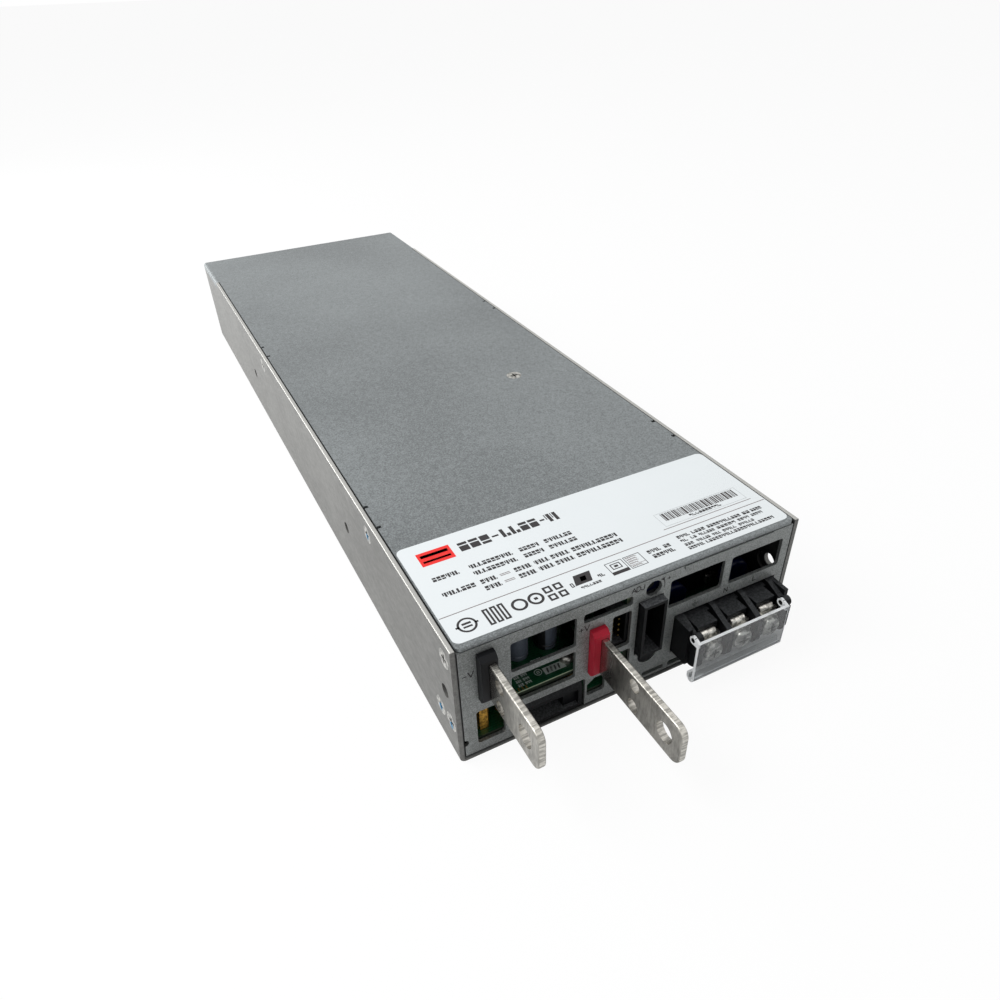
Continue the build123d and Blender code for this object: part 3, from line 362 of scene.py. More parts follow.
def zinc_sheet(name, colour, inside, grain, roughness=0.4):
    """Zinc-coated steel: close even mottling, a faint wide drift, and painted shade on the inner
    faces.
    """
    material, shade = new_material(name)
    fine = shade.noise(grain / MM, 3.0, 0.7)
    mottle = shade.noise(2.4, 3.0, 0.6)
    drift = shade.noise(70.0, 2.0, 0.5)
    level = 0.7 * fine + 0.12 * mottle + 0.18 * drift
    tint = shade.blend(level.rise(0.38, 0.62), scaled(colour, 0.66), scaled(colour, 1.36))
    x, y, z = shade.axes()
    # Painted shade: inner faces between the panels, under the cover and inside the tabs are
    # coloured dark and dull
    between = abs(y).rise(PANEL_INNER + 0.3, PANEL_INNER)
    shaded_inside = between * z.rise(COVER_INNER + 0.2, COVER_INNER)
    shaded_inside = shaded_inside * abs(x).rise(TAB_INNER + 0.3, TAB_INNER)
    tint = shade.blend(shaded_inside, tint, inside)
    shade.surface(fine, 0.012, base_color=tint, metallic=0.6 - 0.5 * shaded_inside,
                  roughness=roughness + 0.2 * fine)
    return material


def brushed_aluminium(name, colour, inside, roughness=0.4):
    """Rolled aluminium: long fine lines, scuffs, a painted highlight along the top edges and
    painted shade on the inner faces.
    """
    material, shade = new_material(name)
    lines = shade.noise(0.45, 4.0, 0.65, (1.0, 0.04, 1.0))
    scuff = shade.noise(1.6, 4.0, 0.7, (1.0, 0.5, 1.0))
    clouds = shade.noise(34.0, 3.0, 0.5)
    level = 0.4 * lines + 0.4 * scuff + 0.2 * clouds
    tint = shade.blend(level.rise(0.36, 0.64), scaled(colour, 0.74), scaled(colour, 1.27))
    x, z = shade.along(X), shade.along(Z)
    # Painted highlight: the top edges of the walls are coloured bright and made smoother
    painted_top_highlight = z.rise(WALL_TOP - 0.15, WALL_TOP)
    tint = shade.blend(painted_top_highlight, tint, scaled(colour, 2.6))
    # Painted shade: the inner faces of the walls and base are coloured dark and dull
    shaded_inside = abs(x).rise(WALL_INNER + 0.2, WALL_INNER) * z.rise(BASE_INNER - 0.3, BASE_INNER)
    tint = shade.blend(shaded_inside, tint, inside)
    shade.surface(0.5 * lines + 0.5 * scuff, 0.02, base_color=tint, metallic=0.7 - 0.6 * shaded_inside,
                  roughness=roughness + 0.22 * lines - 0.12 * painted_top_highlight)
    return material


def plated_metal(name, colour, roughness=0.24, metallic=0.95):
    """Plated or machined small part: turning marks, dark stains, and bright patches that are
    painted glints.
    """
    material, shade = new_material(name)
    marks = shade.noise(0.35, 4.0, 0.65)
    stain = shade.noise(1.3, 3.0, 0.6)
    # Dark stains, and bright patches painted as glints
    tint = shade.blend(stain.rise(0.38, 0.6), scaled(colour, 1.5), scaled(colour, 0.5))
    shade.surface(marks, 0.012, base_color=tint, metallic=metallic,
                  roughness=roughness + 0.16 * marks + 0.1 * stain)
    return material


def moulded(name, colour, roughness=0.5, grain=0.3, depth=0.008, spread=0.3, shine=0.12,
            dust=0.0):
    """Moulded plastic: fine spark texture, faint flow clouds, and a share of pale colour on upward
    faces, partly specks of dust and partly painted light from above. Grain and depth are
    millimetres."""
    material, shade = new_material(name)
    spark = shade.noise(grain, 3.0, 0.6)
    flow = shade.noise(5.0, 3.0, 0.5)
    tint = shade.blend((0.5 * spark + 0.5 * flow).rise(0.3, 0.7), scaled(colour, 1.0 - spread),
                       scaled(colour, 1.0 + spread))
    # Painted light: upward faces are coloured paler, partly as specks of dust and partly as light
    # from above
    if dust:
        specks = 0.4 + shade.noise(0.6, 4.0, 0.75).rise(0.35, 0.7)
        lit_and_dusty_tops = shade.facing(Z).rise(0.6, 0.95) * specks
        tint = shade.blend(lit_and_dusty_tops * dust, tint, bpy.context.scene.supply_moulding.dust)
    shade.surface(spark, depth, base_color=tint, roughness=roughness + 0.14 * flow - 0.05 * spark,
                  specular_ior_level=shine)
    return material


def flat_ink(name, colour, roughness=0.5):
    """Printed ink with a slightly uneven film."""
    material, shade = new_material(name)
    uneven = shade.noise(0.3, 3.0, 0.6)
    tint = shade.blend(uneven, scaled(colour, 0.85), scaled(colour, 1.2))
    shade.surface(uneven, 0.002, base_color=tint, roughness=roughness + 0.1 * uneven)
    return material


def dress(material, *nodes):
    """Give CAD nodes a material."""
    for node in nodes:
        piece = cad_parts[node]
        if not piece.material_slots:
            piece.data.materials.append(material)
        for slot in piece.material_slots:
            slot.material = material


# Meshes

def new_piece(name, mesh, materials, body="enclosure"):
    """Link a finished bmesh as a piece that rides on a body."""
    data = bpy.data.meshes.new(name)
    mesh.to_mesh(data)
    mesh.free()
    for material in materials:
        data.materials.append(material)
    piece = bpy.data.objects.new(name, data)
    bpy.context.scene.collection.objects.link(piece)
    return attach(piece, body)


class Sheet:
    """Flat print on a plane: points are given in millimetres along two axes."""

    def __init__(self, origin, across, along):
        self.origin = Vector(origin)
        self.across = Vector(across) * MM
        self.along = Vector(along) * MM
        self.mesh = bmesh.new()

    def point(self, u, v):
        """Vertex at a place on the plane."""
        return self.mesh.verts.new(self.origin + self.across * u + self.along * v)

    def polygon(self, points, ink=0):
        """Flat face through the points."""
        face = self.mesh.faces.new([self.point(u, v) for u, v in points])
        face.material_index = ink
        return face

    def bar(self, u0, u1, v0, v1, ink=0):
        """Filled box."""
        return self.polygon([(u0, v0), (u1, v0), (u1, v1), (u0, v1)], ink)

    def stroke(self, points, width, ink=0):
        """Band of even width along a run of points."""
        for start, end in zip(points, points[1:]):
            run = Vector(end) - Vector(start)
            side = Vector((-run.y, run.x)).normalized() * width / 2
            tail = run.normalized() * width * 0.3
            corners = [Vector(start) - side - tail, Vector(end) - side + tail,
                       Vector(end) + side + tail, Vector(start) + side - tail]
            self.polygon([tuple(corner) for corner in corners], ink)

    def ring(self, u, v, radius, width, start=0.0, sweep=360.0, ink=0, segments=28):
        """Ring, or part of one."""
        count = max(3, round(segments * sweep / 360))
        turns = [radians(start + sweep * i / count) for i in range(count + 1)]
        for first, second in zip(turns, turns[1:]):
            points = [(u + r * cos(a), v + r * sin(a))
                      for r, a in ((radius - width / 2, first), (radius + width / 2, first),
                                   (radius + width / 2, second), (radius - width / 2, second))]
            self.polygon(points, ink)

    def outline(self, u0, u1, v0, v1, width, ink=0):
        """Outline of a box."""
        self.bar(u0, u1, v0, v0 + width, ink)
        self.bar(u0, u1, v1 - width, v1, ink)
        self.bar(u0, u0 + width, v0 + width, v1 - width, ink)
        self.bar(u1 - width, u1, v0 + width, v1 - width, ink)

    def finish(self, name, materials, thickness=0.0):
        """Make the piece, flat or raised to a thickness in metres."""
        if thickness:
            bmesh.ops.remove_doubles(self.mesh, verts=self.mesh.verts, dist=0.0001 * MM)
            grown = bmesh.ops.extrude_face_region(self.mesh, geom=self.mesh.faces[:])
            moved = [item for item in grown["geom"] if isinstance(item, bmesh.types.BMVert)]
            normal = self.across.cross(self.along).normalized()
            bmesh.ops.translate(self.mesh, vec=normal * thickness, verts=moved)
            bmesh.ops.recalc_face_normals(self.mesh, faces=self.mesh.faces)
        return new_piece(name, self.mesh, materials)


def rounded_box(u0, u1, v0, v1, radius, segments=8):
    """Outline of a box with round corners."""
    points = []
    for u, v, start in ((u1 - radius, v1 - radius, 0), (u0 + radius, v1 - radius, 90),
                        (u0 + radius, v0 + radius, 180), (u1 - radius, v0 + radius, 270)):
        for i in range(segments + 1):
            turn = radians(start + 90 * i / segments)
            points.append((u + radius * cos(turn), v + radius * sin(turn)))
    return points


def mock_text(sheet, v0, v1, words, weight=0.24, ink=INK):
    """Small blocks in the rhythm of printed words, none of them a letter; words lists where each
    word starts, where it ends and how many blocks it has."""
    thick = (v1 - v0) * weight
    middle = (v0 + v1 - thick) / 2
    kinds = (0, 1, 2, 3, 1, 0, 3, 2)
    count = 0
    for start, end, blocks in words:
        pitch = (end - start) / blocks
        for i in range(blocks):
            left = start + pitch * i
            right = left + pitch * 0.84
            kind = kinds[(count * 3 + blocks) % len(kinds)]
            if kind == 0:
                sheet.bar(left, left + thick, v0, v1, ink)
                sheet.bar(left + thick * 1.3, right, v0, middle, ink)
            elif kind == 1:
                sheet.bar(left, right, v0, v0 + thick, ink)
                sheet.bar(left, right, v0 + thick * 1.4, v1, ink)
            elif kind == 2:
                sheet.bar(right - thick, right, v0, v1, ink)
                sheet.bar(left, right - thick * 1.3, middle, v1, ink)
            else:
                sheet.bar(left, right, v1 - thick, v1, ink)
                sheet.bar(left, right, v0, v1 - thick * 1.4, ink)
            count += 1


# Pieces

class SUPPLY_OT_case(bpy.types.Operator):
    """Zinc-coated cover and panels and brushed chassis"""
    bl_idname = "supply.case"
    bl_label = "Case sheets"

    def execute(self, context):
        sheet = context.scene.supply_sheet
        dress(zinc_sheet("cover_zinc", sheet.cover, sheet.inside, sheet.grain), "top_cover")
        dress(zinc_sheet("panel_zinc", sheet.panel, sheet.inside, sheet.grain, 0.36),
              "front_panel", "rear_panel")
        dress(brushed_aluminium("chassis_aluminium", sheet.chassis, sheet.inside), "chassis")
        return {"FINISHED"}


class SUPPLY_OT_fasteners(bpy.types.Operator):
    """Screws, nuts, spacers and standoffs"""
    bl_idname = "supply.fasteners"
    bl_label = "Fasteners"

    def execute(self, context):
        metal = context.scene.supply_metal
        dress(self.locked_zinc(metal.zinc, metal.thread_lock), "flush_screws")
        dress(plated_metal("zinc_plate", metal.zinc), "mounting_nuts", "board_screws",
              "fan_screws", "board_spacers")
        dress(plated_metal("brass", metal.brass, 0.3), "brass_standoffs")
        return {"FINISHED"}

    def locked_zinc(self, colour, lock):
        """Zinc plate, with thread lock in the heads of some of the left wall's screws."""
        material, shade = new_material("zinc_plate_locked")
        x, y, z = shade.axes()
        marks = shade.noise(0.4, 4.0, 0.65)
        stain = shade.noise(1.3, 3.0, 0.6)
        spots = []
        for place_y, place_z in LOCKED_SCREWS:
            gap = ((y - place_y) ** 2.0 + (z - place_z) ** 2.0) ** 0.5
            spots.append((gap + 1.2 * marks).rise(1.75, 1.45))
        locked = reduce(Field.largest, spots) * x.rise(LEFT_HEADS, LEFT_HEADS - 1.0)
        # Dark stains, and bright patches painted as glints
        tint = shade.blend(stain.rise(0.38, 0.6), scaled(colour, 1.5), scaled(colour, 0.45))
        tint = shade.blend(locked, tint, lock)
        shade.surface(marks, 0.012, base_color=tint, metallic=0.95 - 0.9 * locked,
                      roughness=0.22 + 0.15 * marks + 0.2 * locked)
        return material


class SUPPLY_OT_label(bpy.types.Operator):
    """Rating label with its printed fields"""
    bl_idname = "supply.label"
    bl_label = "Rating label"

    def execute(self, context):
        look = context.scene.supply_label
        left, right = LABEL_LOW.x / MM, LABEL_HIGH.x / MM
        film = Sheet((0, 0, LABEL_LOW.z), (1, 0, 0), (0, 1, 0))
        film.polygon(rounded_box(left, right, LABEL_LOW.y / MM, LABEL_HIGH.y / MM, 2.0))
        film = film.finish("rating_label_film", [self.film_material(look.film)],
                           look.film_thickness)
        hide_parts("rating_label")
        inks = [flat_ink("label_ink", look.ink), flat_ink("label_accent", look.accent, 0.4),
                flat_ink("label_rule", look.rule), flat_ink("label_light_ink", look.film),
                flat_ink("label_faint", look.faint),
                flat_ink("label_bars", scaled(look.rule, 0.2))]
        level = LABEL_LOW.z + look.film_thickness + 0.01 * MM
        sheet = Sheet((0, PANEL_FACE, level), (1, 0, 0), (0, 1, 0))
        self.print_fields(sheet)
        self.print_rules(sheet, left + 0.3, right - 0.3)
        self.print_marks(sheet)
        self.print_small_rows(sheet)
        self.print_bars(sheet)
        sheet.finish("rating_label_print", inks)
        return {"FINISHED"}

    def film_material(self, colour):
        """Satin white film with faint dust."""
        material, shade = new_material("label_film")
        dust = shade.noise(1.4, 4.0, 0.7).rise(0.62, 0.8)
        clouds = shade.noise(20.0, 2.0, 0.5)
        tint = shade.blend(0.3 * dust + 0.35 * clouds, colour, scaled(colour, 0.88))
        shade.surface(shade.noise(0.5, 3.0, 0.5), 0.003, base_color=tint,
                      roughness=0.32 + 0.12 * clouds)
        return material

    def print_fields(self, sheet):
        """Red field, heading and the two groups of rows beside it."""
        sheet.bar(-47.0, -37.45, 31.5, 37.3, ACCENT)
        sheet.bar(-46.2, -38.3, 34.9, 36.1, LIGHT)
        sheet.bar(-46.2, -38.3, 32.7, 33.5, LIGHT)
        mock_text(sheet, 32.6, 36.4, ((-35.3, -25.6, 3), (-22.6, -10.7, 4), (-8.4, -4.4, 2)),
                  MEDIUM)
        sheet.bar(-25.4, -23.4, 34.1, 34.8)
        sheet.bar(-10.4, -8.9, 34.1, 34.8)
        for v in (24.8, 21.9):
            mock_text(sheet, v, v + 1.65, ((-36.4, -23.6, 10), (-21.6, -15.6, 5),
                                           (-13.9, -5.3, 7)), HEAVY)
        for v in (18.0, 15.2):
            mock_text(sheet, v, v + 1.7, ((-36.3, -31.6, 4), (-26.6, -21.6, 5), (-20.7, -16.3, 4),
                                          (-15.7, -10.1, 5), (-9.25, 5.1, 11)), HEAVY)
            sheet.bar(-30.8, -27.9, v + 0.5, v + 0.75, RULE)
            sheet.bar(-30.8, -27.9, v + 1.05, v + 1.3, RULE)
        mock_text(sheet, 24.6, 26.3, ((-46.9, -39.3, 6),), HEAVY)
        mock_text(sheet, 18.0, 19.7, ((-46.9, -37.7, 7),), HEAVY)

    def print_rules(self, sheet, left, right):
        """Rule across the label, a little out of square, and the short one on the right."""
        sheet.stroke([(left, 11.45), (right, 11.8)], 0.28, RULE)
        sheet.stroke([(17.4, 13.95), (48.2, 13.95)], 0.26, RULE)

    def print_marks(self, sheet):
        """Plain rings, boxes and outlines in the bottom row, from left to right."""
        sheet.ring(-45.9, 6.5, 2.25, 0.6)
        sheet.bar(-47.1, -44.7, 6.7, 7.4)
        sheet.bar(-47.1, -44.7, 5.6, 6.2)
        sheet.bar(-48.9, -47.9, 6.2, 6.8)
        sheet.bar(-43.9, -42.9, 6.2, 6.8)
        for left in (-40.9, -38.85, -36.8):
            sheet.outline(left, left + 1.6, 3.5, 9.4, 0.55)
        for left in (-31.6, -27.0):
            sheet.ring(left, 6.65, 1.8, 0.72)
        sheet.bar(-27.5, -26.5, 6.2, 7.1)
        for left in (-24.1, -21.1):
            sheet.outline(left, left + 2.3, 6.9, 9.3, 0.6)
            sheet.outline(left, left + 2.3, 3.9, 6.2, 0.6)
        sheet.outline(-17.1, -16.2, 5.6, 7.2, 0.3)
        sheet.polygon([(-16.0, 5.7), (-11.0, 5.7), (-9.8, 9.4), (-14.8, 9.4)])
        sheet.polygon([(-13.9, 6.6), (-12.2, 6.6), (-11.7, 8.3), (-13.4, 8.3)], LIGHT)
        mock_text(sheet, 4.0, 4.9, ((-15.1, -9.1, 7),), MEDIUM)
        mock_text(sheet, 5.7, 6.9, ((-9.0, -7.0, 2),), MEDIUM)
        for left, right in ((-5.3, -0.1), (0.4, 5.5)):
            sheet.outline(left, right, 4.4, 9.4, 0.2)
        sheet.bar(-5.1, -0.3, 4.6, 5.6)
        sheet.outline(-4.2, -1.2, 6.4, 8.6, 0.3)
        sheet.bar(-3.3, -2.1, 7.1, 7.9)
        for v, end in ((8.5, 4.4), (7.7, 4.1), (6.9, 4.1), (6.1, 3.6), (4.9, 4.2)):
            mock_text(sheet, v, v + 0.5, ((0.9, end, 6),), 0.35, RULE)
        sheet.bar(0.6, 5.3, 5.6, 5.75, RULE)

    def print_small_rows(self, sheet):
        """Small rows at the right of the bottom row."""
        mock_text(sheet, 7.3, 8.7, ((7.6, 11.8, 4), (12.9, 15.1, 2)), MEDIUM)
        mock_text(sheet, 5.1, 6.6, ((8.0, 15.0, 6),), MEDIUM)
        mock_text(sheet, 8.7, 9.95, ((18.3, 22.5, 4), (23.2, 27.8, 4), (28.6, 40.4, 11),
                                     (41.2, 43.8, 2), (44.2, 48.0, 4)), MEDIUM)
        mock_text(sheet, 7.0, 8.1, ((18.3, 20.6, 2), (21.6, 23.6, 2), (24.4, 29.8, 6),
                                    (30.6, 37.2, 5), (38.0, 42.0, 4), (42.8, 46.8, 5)), MEDIUM)
        mock_text(sheet, 5.2, 6.3, ((18.3, 21.2, 3), (22.2, 26.8, 6), (27.6, 30.4, 4),
                                    (31.2, 35.8, 5), (36.8, 42.2, 6)), MEDIUM)
        mock_text(sheet, 3.5, 4.7, ((18.3, 23.5, 6), (24.1, 47.9, 22)), 0.32)

    def print_bars(self, sheet):
        """Box with a row of upright bars, and a small row under them."""
        sheet.outline(18.8, 47.6, 14.8, 20.9, 0.12, FAINT)
        widths = (0.24, 0.5, 0.24, 0.72, 0.24, 0.5, 0.3)
        gaps = (0.2, 0.36, 0.2, 0.28)
        left, end, i = 20.5, 46.4, 0
        while left <= end:
            width = widths[(i * 3 + i // 5) % len(widths)]
            sheet.bar(left, left + width, 16.9, 20.4, DARK_RULE)
            left += width + gaps[(i * 5 + i // 7) % len(gaps)]
            i += 1
        mock_text(sheet, 15.4, 16.5, ((27.8, 39.0, 10),), THIN)


class SUPPLY_OT_marks(bpy.types.Operator):
    """Printed polarity, terminal and adjuster marks on the front panel"""
    bl_idname = "supply.marks"
    bl_label = "Panel marks"

    def execute(self, context):
        ink = flat_ink("panel_ink", scaled(context.scene.supply_label.ink, 1.6), 0.6)
        sheet = Sheet((0, PANEL_FACE - 0.02 * MM, 0), (1, 0, 0), (0, 0, 1))
        self.print_letters(sheet)
        self.draw_arrow(sheet)
        self.draw_earth(sheet)
        sheet.finish("panel_marks", [ink])
        return {"FINISHED"}

    def print_letters(self, sheet):
        """Polarity, adjuster and pole letters, each a few strokes on a unit square."""
        strokes = {
            "V": [[(0, 1), (0.4, 0), (0.8, 1)]],
            "+": [[(0.1, 0.42), (0.7, 0.42)], [(0.4, 0.12), (0.4, 0.72)]],
            "-": [[(0.15, 0.42), (0.65, 0.42)]],
            "A": [[(0, 0), (0.4, 1), (0.8, 0)], [(0.15, 0.35), (0.65, 0.35)]],
            "D": [[(0, 0), (0, 1), (0.45, 1), (0.75, 0.72), (0.75, 0.28), (0.45, 0), (0, 0)]],
            "J": [[(0.6, 1), (0.6, 0.25), (0.4, 0), (0.15, 0), (0, 0.2)]],
            "L": [[(0, 1), (0, 0), (0.6, 0)]],
            "N": [[(0, 0), (0, 1), (0.7, 0), (0.7, 1)]],
        }
        for text, u, v, height in (("-V", -51.0, 30.5, 1.85), ("+V", -18.3, 30.4, 1.85),
                                   ("ADJ", -2.6, 37.1, 1.6), ("N", 29.8, 23.5, 1.6),
                                   ("L", 40.3, 23.5, 1.6)):
            for letter in text:
                for run in strokes[letter]:
                    sheet.stroke([(u + height * a, v + height * b) for a, b in run], 0.3)
                u += height * 0.92

    def draw_arrow(self, sheet):
        """Curved arrow beside the adjuster, with a plus sign."""
        sheet.ring(4.4, 36.2, 3.5, 0.24, -20.0, 50.0)
        sheet.polygon([(6.4, 38.3), (7.6, 37.4), (7.7, 38.6)])
        sheet.stroke([(8.7, 37.7), (9.7, 37.7)], 0.24)
        sheet.stroke([(9.2, 37.2), (9.2, 38.2)], 0.24)

    def draw_earth(self, sheet):
        """Earth mark over the first pole."""
        middle = 19.5
        sheet.stroke([(middle, 25.2), (middle, 24.2)], 0.24)
        for drop, half in ((0.0, 1.0), (0.45, 0.65), (0.9, 0.3)):
            sheet.stroke([(middle - half, 24.1 - drop), (middle + half, 24.1 - drop)], 0.22)


class SUPPLY_OT_blades(bpy.types.Operator):
    """Tinned output blades and their insulators"""
    bl_idname = "supply.blades"
    bl_label = "Output blades"

    def execute(self, context):
        metal = context.scene.supply_metal
        plastic = context.scene.supply_moulding
        dress(self.tinned(metal.blade), "negative_blade", "positive_blade")
        dress(moulded("charcoal_moulding", plastic.charcoal, 0.4, shine=0.18),
              "negative_insulator")
        dress(moulded("crimson_moulding", plastic.crimson, 0.35, spread=0.15, shine=0.25),
              "positive_insulator")
        return {"FINISHED"}

    def tinned(self, colour):
        """Tin over copper: smooth near the panel, matt brushing outward, streaked edges."""
        material, shade = new_material("tinned_blade")
        outward = shade.along(Y).rise(BLADE_SMOOTH, BLADE_MATT)
        brush = shade.noise(0.5, 4.0, 0.65, (1.0, 0.6, 0.12))
        stain = shade.noise(4.0, 4.0, 0.65)
        edge = abs(shade.facing(X)).rise(0.8, 0.4)
        teeth = shade.noise(0.8, 3.0, 0.6, (0.2, 1.0, 1.0)).rise(0.36, 0.62)
        tint = shade.blend((0.4 * stain + 0.6 * brush).rise(0.34, 0.66), scaled(colour, 1.3),
                           scaled(colour, 0.66))
        worn = shade.blend(teeth, scaled(colour, 0.95), scaled(colour, 2.0))
        tint = shade.blend(edge, tint, worn)
        shade.surface(0.7 * brush + 0.3 * stain, 0.016, base_color=tint, metallic=0.97,
                      roughness=0.14 + 0.22 * outward + 0.12 * brush)
        return material


class SUPPLY_OT_terminals(bpy.types.Operator):
    """Screw terminal block and its clear cover"""
    bl_idname = "supply.terminals"
    bl_label = "Terminal block"

    def execute(self, context):
        metal = context.scene.supply_metal
        plastic = context.scene.supply_moulding
        dress(moulded("terminal_moulding", plastic.black, 0.42, 0.4, 0.02, shine=0.14,
                      dust=0.22), "terminal_block")
        dress(plated_metal("tinned_contact", scaled(metal.blade, 2.0), 0.16), "terminal_contacts")
        dress(plated_metal("washer_plate", metal.zinc, 0.24), "terminal_washers")
        dress(plated_metal("nickel_screw", scaled(metal.zinc, 1.1), 0.2), "terminal_screw_earth",
              "terminal_screw_neutral", "terminal_screw_line")
        dress(self.clear_plastic(plastic.clear, plastic.edge_frost_and_highlight), "terminal_cover")
        return {"FINISHED"}

    def clear_plastic(self, colour, edge_frost_and_highlight):
        """Smoky clear polycarbonate with smudges; its cut edges are painted white, partly as
        frosting and partly as a painted highlight.
        """
        material, shade = new_material("clear_polycarbonate")
        smudge = shade.noise(3.0, 4.0, 0.6).rise(0.45, 0.75)
        clear = shade.shader(shade.noise(4.0, 2.0, 0.5), 0.003, base_color=colour,
                             roughness=0.03 * smudge, transmission_weight=1.0, ior=1.4)
        frosted_and_lit = shade.shader(base_color=shade.blend(smudge, edge_frost_and_highlight, (0.6, 0.62, 0.63)),
                               roughness=0.4)
        # Edges facing sideways or up are painted white, partly frosting and partly a painted
        # highlight
        edge = abs(shade.facing(X)).rise(0.7, 0.95).largest(shade.facing(Z).rise(0.8, 0.97))
        shade.output(shade.node("ShaderNodeMixShader", None,
                                {0: edge * 0.9, 1: clear, 2: frosted_and_lit}))
        return material


class SUPPLY_OT_connectors(bpy.types.Operator):
    """Signal connectors and voltage trimmer"""
    bl_idname = "supply.connectors"
    bl_label = "Front connectors"

    def execute(self, context):
        metal = context.scene.supply_metal
        plastic = context.scene.supply_moulding
        dress(moulded("connector_moulding", plastic.black, 0.38, dust=0.45), "signal_header",
              "tall_receptacle", "low_receptacle")
        dress(plated_metal("gold_contact", scaled(metal.gold, 0.25), 0.2), "signal_pins",
              "tall_contacts")
        dress(moulded("trimmer_moulding", plastic.blue, 0.35), "trimmer_body")
        dress(moulded("trimmer_rotor_moulding", plastic.rotor, 0.4, spread=0.1),
              "trimmer_rotor")
        return {"FINISHED"}


class SUPPLY_OT_boards(bpy.types.Operator):
    """Circuit boards, their white print and the insulating film"""
    bl_idname = "supply.boards"
    bl_label = "Circuit boards"

    def execute(self, context):
        plastic = context.scene.supply_moulding
        dress(self.board(plastic), "main_board", "upper_board", "control_board")
        dress(moulded("film_sheet", plastic.film_sheet, 0.3, spread=0.2), "insulating_film")
        self.print_upper_board(context.scene.supply_label, context.scene.supply_metal.gold)
        return {"FINISHED"}

    def board(self, plastic):
        """Green lacquer over copper tracks; ends painted dark as shade, and pale ones on the upper
        boards.
        """
        material, shade = new_material("circuit_board")
        tracks = shade.node("ShaderNodeTexBrick", {"offset": 0.5}, {
            "Vector": shade.place(), "Scale": 0.32, "Mortar Size": 0.05,
            "Color1": (0, 0, 0), "Color2": (0, 0, 0), "Mortar": (1, 1, 1)}, "Color")
        patches = shade.noise(4.0, 2.0, 0.5).rise(0.5, 0.54)
        tint = shade.blend(0.5 * tracks + 0.4 * patches, plastic.solder_mask,
                           scaled(plastic.solder_mask, 2.2))
        edge = abs(shade.facing(Y)).rise(0.6, 0.8)
        pale = edge * shade.along(Z).rise(PALE_END, PALE_END + 0.2)
        # Painted shade on the boards' ends, then their pale glass fibre above PALE_END
        tint = shade.blend(edge, tint, plastic.shaded_board_end)
        tint = shade.blend(pale, tint, plastic.board_edge)
        shade.surface(tracks, 0.03, base_color=tint, roughness=0.3 + 0.3 * edge,
                      coat_weight=0.3 - 0.3 * edge)
        return material

    def print_upper_board(self, look, gold):
        """White marks and gold pads on the upper board behind the left windows."""
        inks = [flat_ink("silkscreen", look.silkscreen), plated_metal("gold_pad", gold, 0.25),
                flat_ink("silkscreen_gap", look.gap)]
        sheet = Sheet((0, PANEL_FACE, UPPER_BOARD_TOP + 0.02 * MM), (1, 0, 0), (0, 1, 0))
        for i in range(4):
            u = -36.1 + 1.1 * i
            sheet.polygon([(u, 1.7), (u + 0.7, 1.7), (u + 0.55, 2.9), (u + 0.15, 2.9)], GOLD)
        for v in (2.9, 4.3, 5.7):
            mock_text(sheet, v, v + 0.9, ((-34.2, -32.6, 3), (-32.1, -30.2, 3)))
        sheet.ring(-27.4, 5.1, 1.0, 0.22)
        sheet.outline(-27.8, -27.0, 4.7, 5.5, 0.2)
        sheet.bar(-25.9, -19.6, 3.3, 5.8)
        for i in range(4):
            u = -25.2 + 1.15 * i
            sheet.polygon([(u, 3.7), (u + 0.5, 3.7), (u + 0.85, 5.4), (u + 0.35, 5.4)], GAP)
        mock_text(sheet, 8.6, 9.7, ((-27.4, -23.6, 4),), 0.18)
        sheet.finish("upper_board_print", inks)


